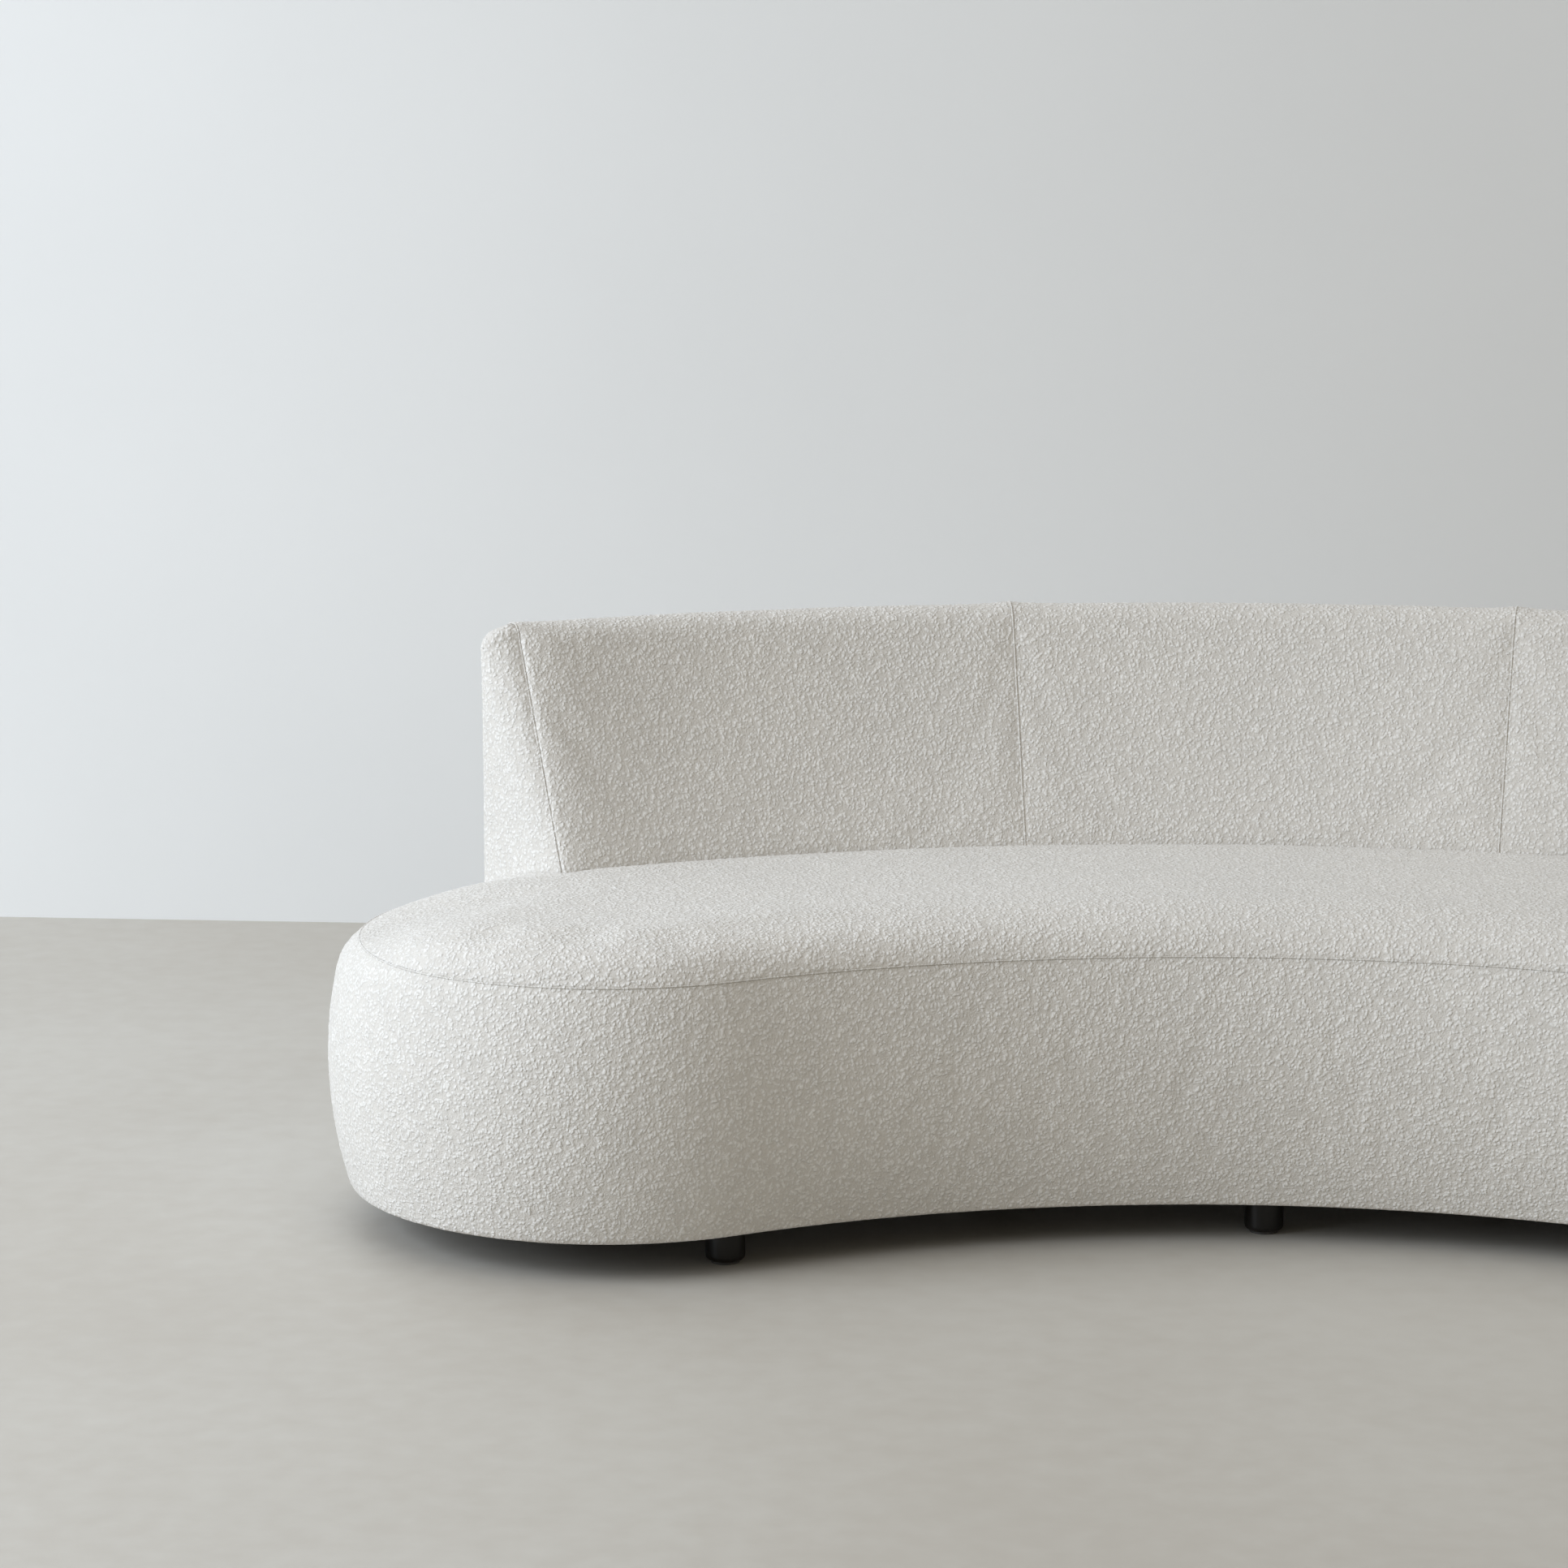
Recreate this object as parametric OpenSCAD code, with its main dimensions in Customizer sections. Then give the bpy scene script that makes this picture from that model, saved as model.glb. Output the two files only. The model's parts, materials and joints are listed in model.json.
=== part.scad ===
// Curved sofa: an upholstered crescent seat with a curved back on short turned feet.
// +Z is up, +X is the sitter's left, the hollow front faces -Y, and the floor is Z = 0.

/* [Overall size] */
// Width over the widest part of the seat
overall_w = 2425; // [2000:5:3000]
// Height of the top of the back above the floor
overall_h = 742; // [620:1:900]
// Height of the seat surface above the floor
seat_h = 425; // [400:5:510]
// Height of the seam round the top of the seat
seam_h = 374; // [345:1:390]
// Height of the upholstery's lower edge above the floor
base_h = 50; // [40:1:70]

/* [Plan curves] */
// Radius of the seat's long rear edge
rear_r = 1945; // [1850:5:2400]
// Radius of the hollow front edge
front_r = 1180; // [900:10:1380]
// Radius of the round seat ends
end_r = 370; // [310:5:450]

/* [Seat shape] */
// Height of the fullest part of the seat's side
bulge_h = 220; // [180:5:264]
// How far the side pulls in at the lower edge
hem_inset = 26; // [10:1:38]
// How far the side pulls in at the top seam
seam_inset = 24; // [10:1:34]
// Width of the round shoulder inside the top seam
shoulder_w = 75; // [40:1:100]

/* [Back shape] */
// Lean of the back's inner face, in degrees
back_lean = 23; // [14:0.5:26]
// Radius of the roll along the top of the back
roll_r = 36; // [30:1:43]
// Distance from the back's end to where the seat end starts to turn
back_setback = 10; // [5:1:80]
// Thickness of the end pad at the inner face
pad_front_t = 10; // [6:1:20]
// Thickness of the end pad at the outer face
pad_rear_t = 50; // [20:1:60]

/* [Wooden frame] */
// Thickness of the plywood panels
ply_t = 18; // [12:1:22]
// Thickness of the bent side rails
rail_t = 15; // [10:1:18]
// Thickness of the bent boards in the back
skin_t = 5; // [4:0.5:6]
// Distance from the fullest part of the side to the frame
frame_inset = 42; // [40:1:50]
// Height of the seat deck's upper face
deck_h = 303; // [250:1:320]
// Number of ribs between the seat's front and rear rails
rib_count = 6; // [4:2:8]
// Distance from the outer ribs to where the seat end starts to turn
end_rib_gap = 176; // [150:2:220]
// Width of the deck's solid border and cross bars
deck_border = 62; // [40:1:75]
// Number of ribs inside the back
back_rib_count = 5; // [3:2:7]

/* [Padding and cover] */
// Thickness of the cloth cover
cover_t = 2; // [1:0.5:3]
// Foam between cover and board at seat height
back_foam_low = 40; // [30:1:50]
// Foam between cover and board at the top rail
back_foam_high = 18; // [12:1:24]
// Foam on the outer face of the back
outer_foam_t = 16; // [8:1:20]
// Width of a webbing strap
strap_w = 50; // [30:1:60]
// Thickness of a webbing strap
strap_t = 2; // [1:0.5:3]

/* [Feet] */
// Diameter of a turned foot
foot_d = 50; // [40:1:60]
// Radius of the foot's rounded lower edge
foot_edge_r = 7; // [3:1:10]
// Distance from the fullest part of the side to a foot's centre
foot_inset = 93; // [88:1:120]
// Turn of the outer front feet back from where the seat end starts, in degrees
foot_turn_back = 0.8; // [0:0.1:4]
// Diameter of the feet's threaded studs
stud_d = 8; // [6:1:10]
// Thickness of the plastic glide under a foot
glide_t = 3; // [2:0.5:5]

/* [Hidden] */
$fn = 360;

cloth = "ivory";
foam = "khaki";
birch = "burlywood";
steel = "silver";
black = "#1c1b1a";

// Plan curves. The rear and front curves are centred on the middle line, and each seat
// end is tangent to both of them.
end_x = overall_w / 2 - end_r;
rear_to_end = sqrt(pow(rear_r - end_r, 2) - pow(end_x, 2));
front_to_end = sqrt(pow(front_r + end_r, 2) - pow(end_x, 2));
rear_cy = -(rear_r + rear_to_end - end_r) / 2;
end_cy = rear_cy + rear_to_end;
front_cy = end_cy - front_to_end;
// Angles from the middle line at which the long curves meet the seat ends
rear_turn = atan2(end_x, rear_to_end);
front_turn = atan2(end_x, front_to_end);
// Longer than anything, the gap between soft pieces, the clearance round a fastener, and how
// much smaller the seat ends are than the middle that they join
far = 3 * overall_w;
joint_step = 0.02;
gap = 0.3;
fit_gap = 0.05;
// The plan is cut into three zones along the lines through the curves' centres, on which
// the long curves meet the ends: the middle, and the right end with its mirror image.
rear_far = [end_x + far * sin(rear_turn), end_cy + far * cos(rear_turn)];
front_far = [end_x - far * sin(front_turn), end_cy - far * cos(front_turn)];
middle_zone = [[0, front_cy], [end_x, end_cy], rear_far, [-rear_far[0], rear_far[1]], [-end_x, end_cy]];
end_zone = [[end_x, end_cy], front_far, [far, end_cy - far], [far, end_cy + far], rear_far];

// The back
back_face_r = rear_r - seam_inset;
roll_cr = back_face_r - roll_r;
roll_cz = overall_h - roll_r;
roll_start = 180 - back_lean;
roll_steps = 7;
back_front_r = roll_cr + roll_r * cos(roll_start)
    - (roll_cz + roll_r * sin(roll_start) - seat_h) * tan(back_lean);
back_turn = rear_turn - back_setback / back_face_r * 180 / PI;
board_turn = back_turn - asin(ply_t / back_front_r);
panel_turn = back_turn / 3;
top_rail_z = roll_cz - ply_t;
board_low_r = back_front_r + cover_t + back_foam_low;
board_high_r = inner_r(cover_t, top_rail_z) + back_foam_high;
back_frame_r = back_face_r - cover_t - outer_foam_t - skin_t;
bottom_rail_z = deck_h + ply_t;
back_rib_step = 2 * board_turn / (back_rib_count + 1);
// Share of the end pad's rear thickness that is left at the very corner
pad_corner = 0.7;

// The seat
panel_z = base_h + 1;
floor_z = panel_z + ply_t;
rail_inset = frame_inset + rail_t;
deck_low = deck_h - ply_t;
core_z = deck_h + strap_t;
shoulder_steps = 6;
side_steps = 4;
rail_profile = box(frame_inset, rail_inset, floor_z, deck_low);
side_foam_profile = concat(side_line(cover_t, panel_z), [[frame_inset, seam_h], [frame_inset, panel_z]]);
opening_front = rail_inset + deck_border;
opening_rear_r = back_front_r - deck_border / 2;
rib_step = 2 * (rear_turn - end_rib_gap / rear_r * 180 / PI) / (rib_count - 1);
rib_turns = [for (i = [0 : rib_count - 1]) (i - (rib_count - 1) / 2) * rib_step];
bay_turns = [for (i = [1 : rib_count - 1]) (i - rib_count / 2) * rib_step];
end_opening_r = 110;
end_opening_x = end_x + end_r / 4;
strap_overlap = 20;

// Feet and fasteners
front_foot_turn = front_turn - foot_turn_back;
front_spots = [for (a = [-front_foot_turn, 0, front_foot_turn]) front_spot(a, foot_inset)];
rear_spots = [for (i = [-2.7, -1, 1, 2.7]) rear_spot(i * rib_step, rear_r - foot_inset)];
foot_spots = concat(front_spots, rear_spots);
stud_low = 18;
stud_high = floor_z + 14;
nut_barrel_d = stud_d + 3;
nut_flange_d = 24;
nut_flange_t = 1.5;
nail_d = 3;
nail_l = 12;
foot_edge_steps = 4;
block_w = 62;
block_h = 35;
bolt_d = 8;
bolt_head_d = 15;
bolt_head_t = 5;
bolt_r = (board_low_r + back_frame_r) / 2;
bolt_turns = [for (i = [0 : 2], side = [-1, 1]) side * (i + 0.25) * rib_step];
bolt_spots = [for (a = bolt_turns) rear_spot(a, bolt_r)];
washer_t = 2;
washer_d = 26;
screw_d = 5;
screw_head_d = 9;
screw_head_t = 3;
screw_l = 45;

// Radius of the back's inner face at height z, at a given depth under the cover
function inner_r(depth, z) = let (
        low = back_front_r + depth,
        high = roll_cr + (roll_r - depth) * cos(roll_start),
        high_z = roll_cz + (roll_r - depth) * sin(roll_start))
    low + (high - low) * (z - seat_h) / (high_z - seat_h);
// Radius of the front of the back's inner board at height z: upright up to the seat, then leaning
function board_r(z) = board_low_r
    + (board_high_r - board_low_r) * max(0, z - seat_h) / (top_rail_z - seat_h);
// The board's front edge as [radius, z] between two heights, moved back by depth
function board_line(depth, z1, z2) = [for (z = [z1, seat_h, z2]) [board_r(z) + depth, z]];
// How far the seat's side pulls in at height z
function side_inset(z) = z < bulge_h
    ? hem_inset * pow((bulge_h - z) / (bulge_h - base_h), 2)
    : seam_inset * pow((z - bulge_h) / (seam_h - bulge_h), 2);
function front_spot(a, inset) = [(front_r + inset) * sin(a), front_cy + (front_r + inset) * cos(a)];
function rear_spot(a, r) = [r * sin(a), rear_cy + r * cos(a)];
function reverse(list) = [for (i = [len(list) - 1 : -1 : 0]) list[i]];
function box(x1, x2, z1, z2) = [[x1, z1], [x2, z1], [x2, z2], [x1, z2]];

// Heights at which the side's outline has points, from z_low to the seam
function side_heights(z_low) = concat(
    [for (i = [0 : side_steps - 1]) z_low + (bulge_h - z_low) * i / side_steps],
    [for (i = [0 : side_steps]) bulge_h + (seam_h - bulge_h) * i / side_steps]);
// The seat's side as [inset, z] from z_low to the seam, at a depth under the cover
function side_line(depth, z_low) = [for (z = side_heights(z_low)) [side_inset(z) + depth, z]];
// The shoulder as [inset, z] from the seam to the flat top
function shoulder_line(depth) = [for (i = [0 : shoulder_steps])
    let (a = 90 * i / shoulder_steps)
    [seam_inset + depth + (shoulder_w - depth) * (1 - cos(a)),
     seam_h + (seat_h - seam_h - depth) * sin(a)]];
// The back as [radius, z], from z_low up the inner face and over the roll
function back_line(depth, z_low) = concat(
    [[back_front_r + depth, z_low], [back_front_r + depth, seat_h]],
    [for (i = [0 : roll_steps])
        let (a = roll_start * (1 - i / roll_steps))
        [roll_cr + (roll_r - depth) * cos(a), roll_cz + (roll_r - depth) * sin(a)]]);
function back_outline(depth, z_low) = concat(back_line(depth, z_low), [[back_face_r - depth, z_low]]);

// ---- Shared shapes ----
module flip(side) {
    mirror([side < 0 ? 1 : 0, 0, 0]) children();
}
// Turned to a radial line of the rear centre: +Y runs outward along it
module on_radius(turn) {
    translate([0, rear_cy, 0]) rotate(-turn) children();
}
// Everything over one zone of the plan
module in_zone(zone) {
    intersection() {
        children();
        linear_extrude(overall_h) polygon(zone);
    }
}
// Sweeps of a profile given as [inset, z] along one stretch of the plan
module rear_sweep(profile) {
    in_zone(middle_zone) translate([0, rear_cy, 0])
        rotate_extrude(angle = 180) polygon([for (p = profile) [rear_r - p[0], p[1]]]);
}
module front_sweep(profile) {
    in_zone(middle_zone) translate([0, front_cy, 0])
        rotate_extrude(angle = 180) polygon([for (p = profile) [front_r + p[0], p[1]]]);
}
module end_sweep(side, profile) {
    flip(side) in_zone(end_zone) translate([end_x, end_cy, 0])
        rotate_extrude() polygon([for (p = profile) [end_r - joint_step - p[0], p[1]]]);
}
// Sweep of a section given as [radius, z] along the back, between two angles
module back_sweep(from, to, section) {
    translate([0, rear_cy, 0])
        rotate_extrude(start = 90 - to, angle = to - from)
            polygon(section);
}
// The whole plan as a solid, its edge given as [inset, z] from the bottom to the top
module plan_solid(edge) {
    first = edge[0];
    last = edge[len(edge) - 1];
    in_zone(middle_zone) difference() {
        translate([0, rear_cy, 0]) rotate_extrude() polygon(concat(
            [[0, first[1]]],
            [for (p = edge) [rear_r - p[0], p[1]]],
            [[0, last[1]]]));
        translate([0, front_cy, 0]) rotate_extrude() polygon(concat(
            [[0, first[1] - 1], [front_r + first[0], first[1] - 1]],
            [for (p = edge) [front_r + p[0], p[1]]],
            [[front_r + last[0], last[1] + 1], [0, last[1] + 1]]));
    }
    for (side = [-1, 1]) flip(side) in_zone(end_zone) translate([end_x, end_cy, 0])
        rotate_extrude() polygon(concat(
            [[0, first[1]]],
            [for (p = edge) [end_r - joint_step - p[0], p[1]]],
            [[0, last[1]]]));
}
module plate(inset, z1, z2) {
    plan_solid([[inset, z1], [inset, z2]]);
}
// A vertical disc centred on the front or rear curve's centre
module front_disc(r, z1, z2) {
    translate([0, front_cy, z1]) cylinder(r = r, h = z2 - z1);
}
module rear_disc(r, z1, z2) {
    translate([0, rear_cy, z1]) cylinder(r = r, h = z2 - z1);
}
// Plan wedge on the outside of the back's end, from the end board outwards
module end_wedge(side, start, grow, z1, z2) {
    flip(side) on_radius(back_turn) translate([0, 0, z1]) linear_extrude(z2 - z1) polygon([
        [start, back_front_r - grow],
        [pad_front_t + grow, back_front_r - grow],
        [pad_rear_t + grow, back_face_r - pad_rear_t / 2],
        [pad_rear_t * pad_corner + grow, back_face_r + grow],
        [start, back_face_r + grow]
    ]);
}
// The back's outline as a thick slice on the outside of its end
module end_slice(side, depth, t) {
    flip(side) on_radius(back_turn)
        rotate([90, 0, 90]) linear_extrude(t) polygon(back_outline(depth, seam_h));
}
// The room that the back and its end pads take out of the seat's top
module back_well() {
    back_sweep(-back_turn, back_turn, box(back_front_r - gap, rear_r + far, seam_h - 1, overall_h));
    for (side = [-1, 1]) end_wedge(side, -1, cover_t + gap, seam_h - 1, overall_h);
}

// ---- Fasteners; grow widens one into the hole that it passes through ----
module base_screw_set(grow) {
    for (a = rib_turns, spot = [
        rear_spot(a + rib_step / 3, rear_r - frame_inset - rail_t / 2),
        front_spot(a + rib_step / 3, frame_inset + rail_t / 2)
    ]) translate([spot[0], spot[1], panel_z - grow]) {
        cylinder(d = screw_head_d + 2 * grow, h = screw_head_t + 2 * grow);
        cylinder(d = screw_d + 2 * grow, h = screw_l + 2 * grow);
    }
}
module foot_block_set() {
    for (p = foot_spots) translate([p[0], p[1], floor_z])
        rotate(-atan2(p[0], p[1] - rear_cy)) translate([-block_w / 2, -block_w / 2, 0])
            cube([block_w, block_w, block_h]);
}
module deck_screw_set(grow) {
    front_row = front_cy - rear_cy + front_r + opening_front;
    for (a = rib_turns, r = [front_row - deck_border / 2, opening_rear_r + deck_border])
        on_radius(a) translate([0, r, deck_h + grow]) mirror([0, 0, 1]) {
            cylinder(d = screw_head_d + 2 * grow, h = screw_head_t + 2 * grow);
            cylinder(d = screw_d + 2 * grow, h = screw_l + 2 * grow);
        }
}
module back_bolt_set(grow) {
    z = deck_low - washer_t;
    for (a = bolt_turns) on_radius(a) translate([0, bolt_r, 0]) {
        translate([0, 0, z - bolt_head_t]) cylinder(d = bolt_head_d, h = bolt_head_t);
        translate([0, 0, z - 1]) cylinder(d = bolt_d + 2 * grow, h = bottom_rail_z + 8 - z + 1);
    }
}
// A pronged nut: a barrel down into the wood and a flange on top of it
module pronged_nut(bore_d, barrel_d, barrel_l) {
    difference() {
        union() {
            translate([0, 0, -barrel_l]) cylinder(d = barrel_d, h = barrel_l + nut_flange_t);
            cylinder(d = nut_flange_d, h = nut_flange_t);
        }
        translate([0, 0, -barrel_l - 1]) cylinder(d = bore_d + 2 * fit_gap, h = barrel_l + nut_flange_t + 2);
    }
}
module nut_holes(spots, z1, z2) {
    for (p = spots) translate([p[0], p[1], z1]) cylinder(d = nut_barrel_d + 2 * fit_gap, h = z2 - z1);
}
// ---- Seat frame ----
module base_panel() {
    color(birch) difference() {
        plate(frame_inset, panel_z, floor_z);
        nut_holes(foot_spots, panel_z - 1, floor_z + 1);
        base_screw_set(fit_gap);
    }
}
module front_rail() {
    color(birch) difference() {
        front_sweep(rail_profile);
        base_screw_set(fit_gap);
    }
}
module rear_rail() {
    color(birch) difference() {
        rear_sweep(rail_profile);
        base_screw_set(fit_gap);
    }
}
module end_rail(side) {
    difference() {
        end_sweep(side, rail_profile);
        base_screw_set(fit_gap);
    }
}
module left_end_rail() {
    color(birch) end_rail(-1);
}
module right_end_rail() {
    color(birch) end_rail(1);
}
// Radial boards between the front and rear rails, and one across each seat end
module seat_ribs() {
    color(birch) difference() {
        union() {
            for (a = rib_turns) difference() {
                intersection() {
                    on_radius(a) translate([-ply_t / 2, 0, floor_z])
                        cube([ply_t, rear_r, deck_low - floor_z]);
                    rear_disc(rear_r - rail_inset, floor_z, deck_low);
                }
                front_disc(front_r + rail_inset, floor_z - 1, deck_low + 1);
            }
            for (side = [-1, 1]) intersection() {
                translate([side * end_opening_x - ply_t / 2, end_cy - end_r, floor_z])
                    cube([ply_t, 2 * end_r, deck_low - floor_z]);
                translate([side * end_x, end_cy, floor_z])
                    cylinder(r = end_r - joint_step - rail_inset, h = deck_low - floor_z);
            }
        }
        deck_screw_set(fit_gap);
        foot_block_set();
    }
}
// Solid blocks glued to the panel round each foot's nut; ribs that meet one are notched for it
module foot_blocks() {
    color(birch) difference() {
        foot_block_set();
        for (p = foot_spots) translate([p[0], p[1], floor_z - 1])
            cylinder(d = nut_flange_d + 2, h = block_h + 2);
    }
}
// Plywood deck with an opening between each pair of ribs and one in each seat end
module seat_deck() {
    // Where the two sides of an opening would meet, so that each keeps half a bar clear
    tip_r = deck_border / 2 / sin(rib_step / 2);
    side_x = far * tan(rib_step / 2);
    color(birch) difference() {
        plate(frame_inset, deck_low, deck_h);
        for (a = bay_turns) difference() {
            intersection() {
                rear_disc(opening_rear_r, deck_low - 1, deck_h + 1);
                on_radius(a) translate([0, 0, deck_low - 1]) linear_extrude(ply_t + 2)
                    polygon([[0, tip_r], [side_x, tip_r + far], [-side_x, tip_r + far]]);
            }
            front_disc(front_r + opening_front, deck_low - 2, deck_h + 2);
        }
        for (side = [-1, 1]) translate([side * end_opening_x, end_cy, deck_low - 1])
            cylinder(r = end_opening_r, h = ply_t + 2);
        deck_screw_set(fit_gap);
        back_bolt_set(fit_gap);
    }
}
// Elastic straps across the deck's openings, two to a bay and two to an end
module webbing_straps() {
    color("dimgray") {
        for (a = bay_turns, b = [-1, 1]) difference() {
            intersection() {
                on_radius(a + b * rib_step / 6) translate([-strap_w / 2, 0, deck_h])
                    cube([strap_w, rear_r, strap_t]);
                rear_disc(opening_rear_r + strap_overlap, deck_h, core_z);
            }
            front_disc(front_r + opening_front - strap_overlap, deck_h - 1, core_z + 1);
        }
        for (side = [-1, 1], b = [-1, 1]) translate([
            side * end_opening_x - end_opening_r - strap_overlap,
            end_cy + b * strap_w * 0.75 - strap_w / 2,
            deck_h
        ]) cube([2 * (end_opening_r + strap_overlap), strap_w, strap_t]);
    }
}

// ---- Seat padding and covers ----
module seat_foam_core() {
    color(foam) difference() {
        plate(frame_inset, core_z, seam_h);
        back_sweep(-back_turn, back_turn, box(back_front_r - gap, rear_r + far, deck_h, seam_h + 1));
    }
}
module side_foam_front() {
    color(foam) front_sweep(side_foam_profile);
}
module side_foam_rear() {
    color(foam) rear_sweep(side_foam_profile);
}
module side_foam_left() {
    color(foam) end_sweep(-1, side_foam_profile);
}
module side_foam_right() {
    color(foam) end_sweep(1, side_foam_profile);
}
module seat_topper() {
    color(foam) difference() {
        plan_solid(shoulder_line(cover_t));
        back_well();
    }
}
module cover_seat_top() {
    inner = shoulder_line(cover_t);
    color(cloth) difference() {
        plan_solid(shoulder_line(0));
        plan_solid(concat([[inner[0][0], seam_h - 1]], inner));
        back_well();
    }
}
module cover_seat_side() {
    inner = side_line(cover_t, base_h);
    color(cloth) difference() {
        plan_solid(side_line(0, base_h));
        plan_solid(concat(
            [[inner[0][0], base_h - 1]],
            inner,
            [[seam_inset + cover_t, seam_h + 1]]));
    }
}
// Thin black cloth under the frame, cut out round the feet
module dust_cover() {
    color(black) difference() {
        plate(hem_inset + cover_t + gap, base_h, panel_z);
        for (p = foot_spots) translate([p[0], p[1], base_h - 1]) cylinder(d = foot_d + 2, h = 3);
        base_screw_set(fit_gap);
    }
}

// ---- Back frame ----
module back_rail(z1, z2) {
    back_sweep(-board_turn, board_turn, [
        [board_r(z1) + skin_t + gap, z1],
        [back_frame_r, z1],
        [back_frame_r, z2],
        [board_r(z2) + skin_t + gap, z2]
    ]);
}
module back_bottom_rail() {
    color(birch) difference() {
        back_rail(deck_h, bottom_rail_z);
        nut_holes(bolt_spots, deck_h - 1, bottom_rail_z + 1);
    }
}
module back_top_rail() {
    color(birch) back_rail(top_rail_z, roll_cz);
}
module back_ribs() {
    color(birch) for (i = [1 : back_rib_count]) on_radius(i * back_rib_step - board_turn)
        translate([-ply_t / 2, 0, 0]) rotate([90, 0, 90]) linear_extrude(ply_t) polygon(concat(
            board_line(skin_t + gap, bottom_rail_z, top_rail_z),
            [[back_frame_r - gap, top_rail_z], [back_frame_r - gap, bottom_rail_z]]));
}
module back_end_board(side) {
    flip(side) on_radius(back_turn) translate([-ply_t, 0, 0])
        rotate([90, 0, 90]) linear_extrude(ply_t) polygon(concat(
            board_line(gap, deck_h, roll_cz),
            [[back_frame_r + skin_t - gap, roll_cz], [back_frame_r + skin_t - gap, deck_h]]));
}
module back_end_board_left() {
    color(birch) back_end_board(-1);
}
module back_end_board_right() {
    color(birch) back_end_board(1);
}
module back_inner_board() {
    color(birch) back_sweep(-board_turn, board_turn, concat(
        board_line(0, deck_h, roll_cz),
        reverse(board_line(skin_t, deck_h, roll_cz))));
}
module back_outer_board() {
    color(birch) back_sweep(-board_turn, board_turn,
        box(back_frame_r, back_frame_r + skin_t, deck_h, roll_cz));
}

// ---- Back padding and covers ----
module back_inner_foam() {
    color(foam) back_sweep(-back_turn, back_turn, concat(
        board_line(0, core_z, roll_cz),
        [
            [inner_r(cover_t, roll_cz), roll_cz],
            [back_front_r + cover_t, seat_h],
            [back_front_r + cover_t, core_z]
        ]));
}
module back_outer_foam() {
    color(foam) back_sweep(-back_turn, back_turn,
        box(back_frame_r + skin_t, back_face_r - cover_t, seam_h, roll_cz));
}
module back_top_roll() {
    angles = concat([180], [for (i = [0 : roll_steps]) roll_start * (1 - i / roll_steps)]);
    r = roll_r - cover_t;
    color(foam) back_sweep(-back_turn, back_turn,
        [for (a = angles) [roll_cr + r * cos(a), roll_cz + r * sin(a)]]);
}
module back_end_pad(side) {
    intersection() {
        end_slice(side, cover_t, 2 * pad_rear_t);
        end_wedge(side, 0, 0, seam_h, overall_h);
    }
}
module back_end_pad_left() {
    color(foam) back_end_pad(-1);
}
module back_end_pad_right() {
    color(foam) back_end_pad(1);
}
module cover_back_inner(from, to) {
    back_sweep(from, to, concat(back_line(0, seam_h), reverse(back_line(cover_t, seam_h))));
}
module cover_back_left() {
    color(cloth) cover_back_inner(-back_turn, -panel_turn);
}
module cover_back_centre() {
    color(cloth) cover_back_inner(-panel_turn, panel_turn);
}
module cover_back_right() {
    color(cloth) cover_back_inner(panel_turn, back_turn);
}
module cover_back_outer() {
    color(cloth) back_sweep(-back_turn, back_turn,
        box(back_face_r - cover_t, back_face_r, seam_h, roll_cz));
}
module cover_back_end(side) {
    difference() {
        intersection() {
            end_slice(side, 0, 2 * pad_rear_t);
            end_wedge(side, 0, cover_t, seam_h, overall_h);
        }
        intersection() {
            end_slice(side, cover_t, 2 * pad_rear_t);
            end_wedge(side, -1, 0, seam_h - 1, overall_h);
        }
    }
}
module cover_back_end_left() {
    color(cloth) cover_back_end(-1);
}
module cover_back_end_right() {
    color(cloth) cover_back_end(1);
}

// ---- Feet and their fixings ----
module foot(spot) {
    r = foot_d / 2;
    color(black) translate([spot[0], spot[1], 0]) difference() {
        rotate_extrude() polygon(concat(
            [[0, glide_t]],
            [for (i = [0 : foot_edge_steps])
                let (a = -90 + 90 * i / foot_edge_steps)
                [r + foot_edge_r * (cos(a) - 1), glide_t + foot_edge_r * (1 + sin(a))]],
            [[r, panel_z], [0, panel_z]]));
        translate([0, 0, stud_low]) cylinder(d = stud_d + 2 * fit_gap, h = panel_z);
        cylinder(d = nail_d + 2 * fit_gap, h = glide_t + nail_l);
    }
}
module foot_front_left() {
    foot(front_spots[0]);
}
module foot_front_centre() {
    foot(front_spots[1]);
}
module foot_front_right() {
    foot(front_spots[2]);
}
module foot_rear_far_left() {
    foot(rear_spots[0]);
}
module foot_rear_left() {
    foot(rear_spots[1]);
}
module foot_rear_right() {
    foot(rear_spots[2]);
}
module foot_rear_far_right() {
    foot(rear_spots[3]);
}
module foot_studs() {
    color(steel) for (p = foot_spots) translate([p[0], p[1], stud_low])
        cylinder(d = stud_d, h = stud_high - stud_low);
}
module foot_tnuts() {
    color(steel) for (p = foot_spots) translate([p[0], p[1], floor_z])
        pronged_nut(stud_d, nut_barrel_d, ply_t);
}
module foot_glides() {
    color("dimgray") for (p = foot_spots) translate([p[0], p[1], 0]) {
        cylinder(d = foot_d - 2 * foot_edge_r, h = glide_t);
        cylinder(d = nail_d, h = glide_t + nail_l - 1);
    }
}
module back_bolts() {
    color(steel) back_bolt_set(0);
}
module back_washers() {
    color(steel) for (p = bolt_spots) translate([p[0], p[1], deck_low - washer_t]) difference() {
        cylinder(d = washer_d, h = washer_t);
        translate([0, 0, -1]) cylinder(d = bolt_d + 2 * fit_gap, h = washer_t + 2);
    }
}
module back_tnuts() {
    color(steel) for (p = bolt_spots) translate([p[0], p[1], bottom_rail_z])
        pronged_nut(bolt_d, nut_barrel_d, ply_t);
}
module base_screws() {
    color(steel) base_screw_set(0);
}
module deck_screws() {
    color(steel) deck_screw_set(0);
}

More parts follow.
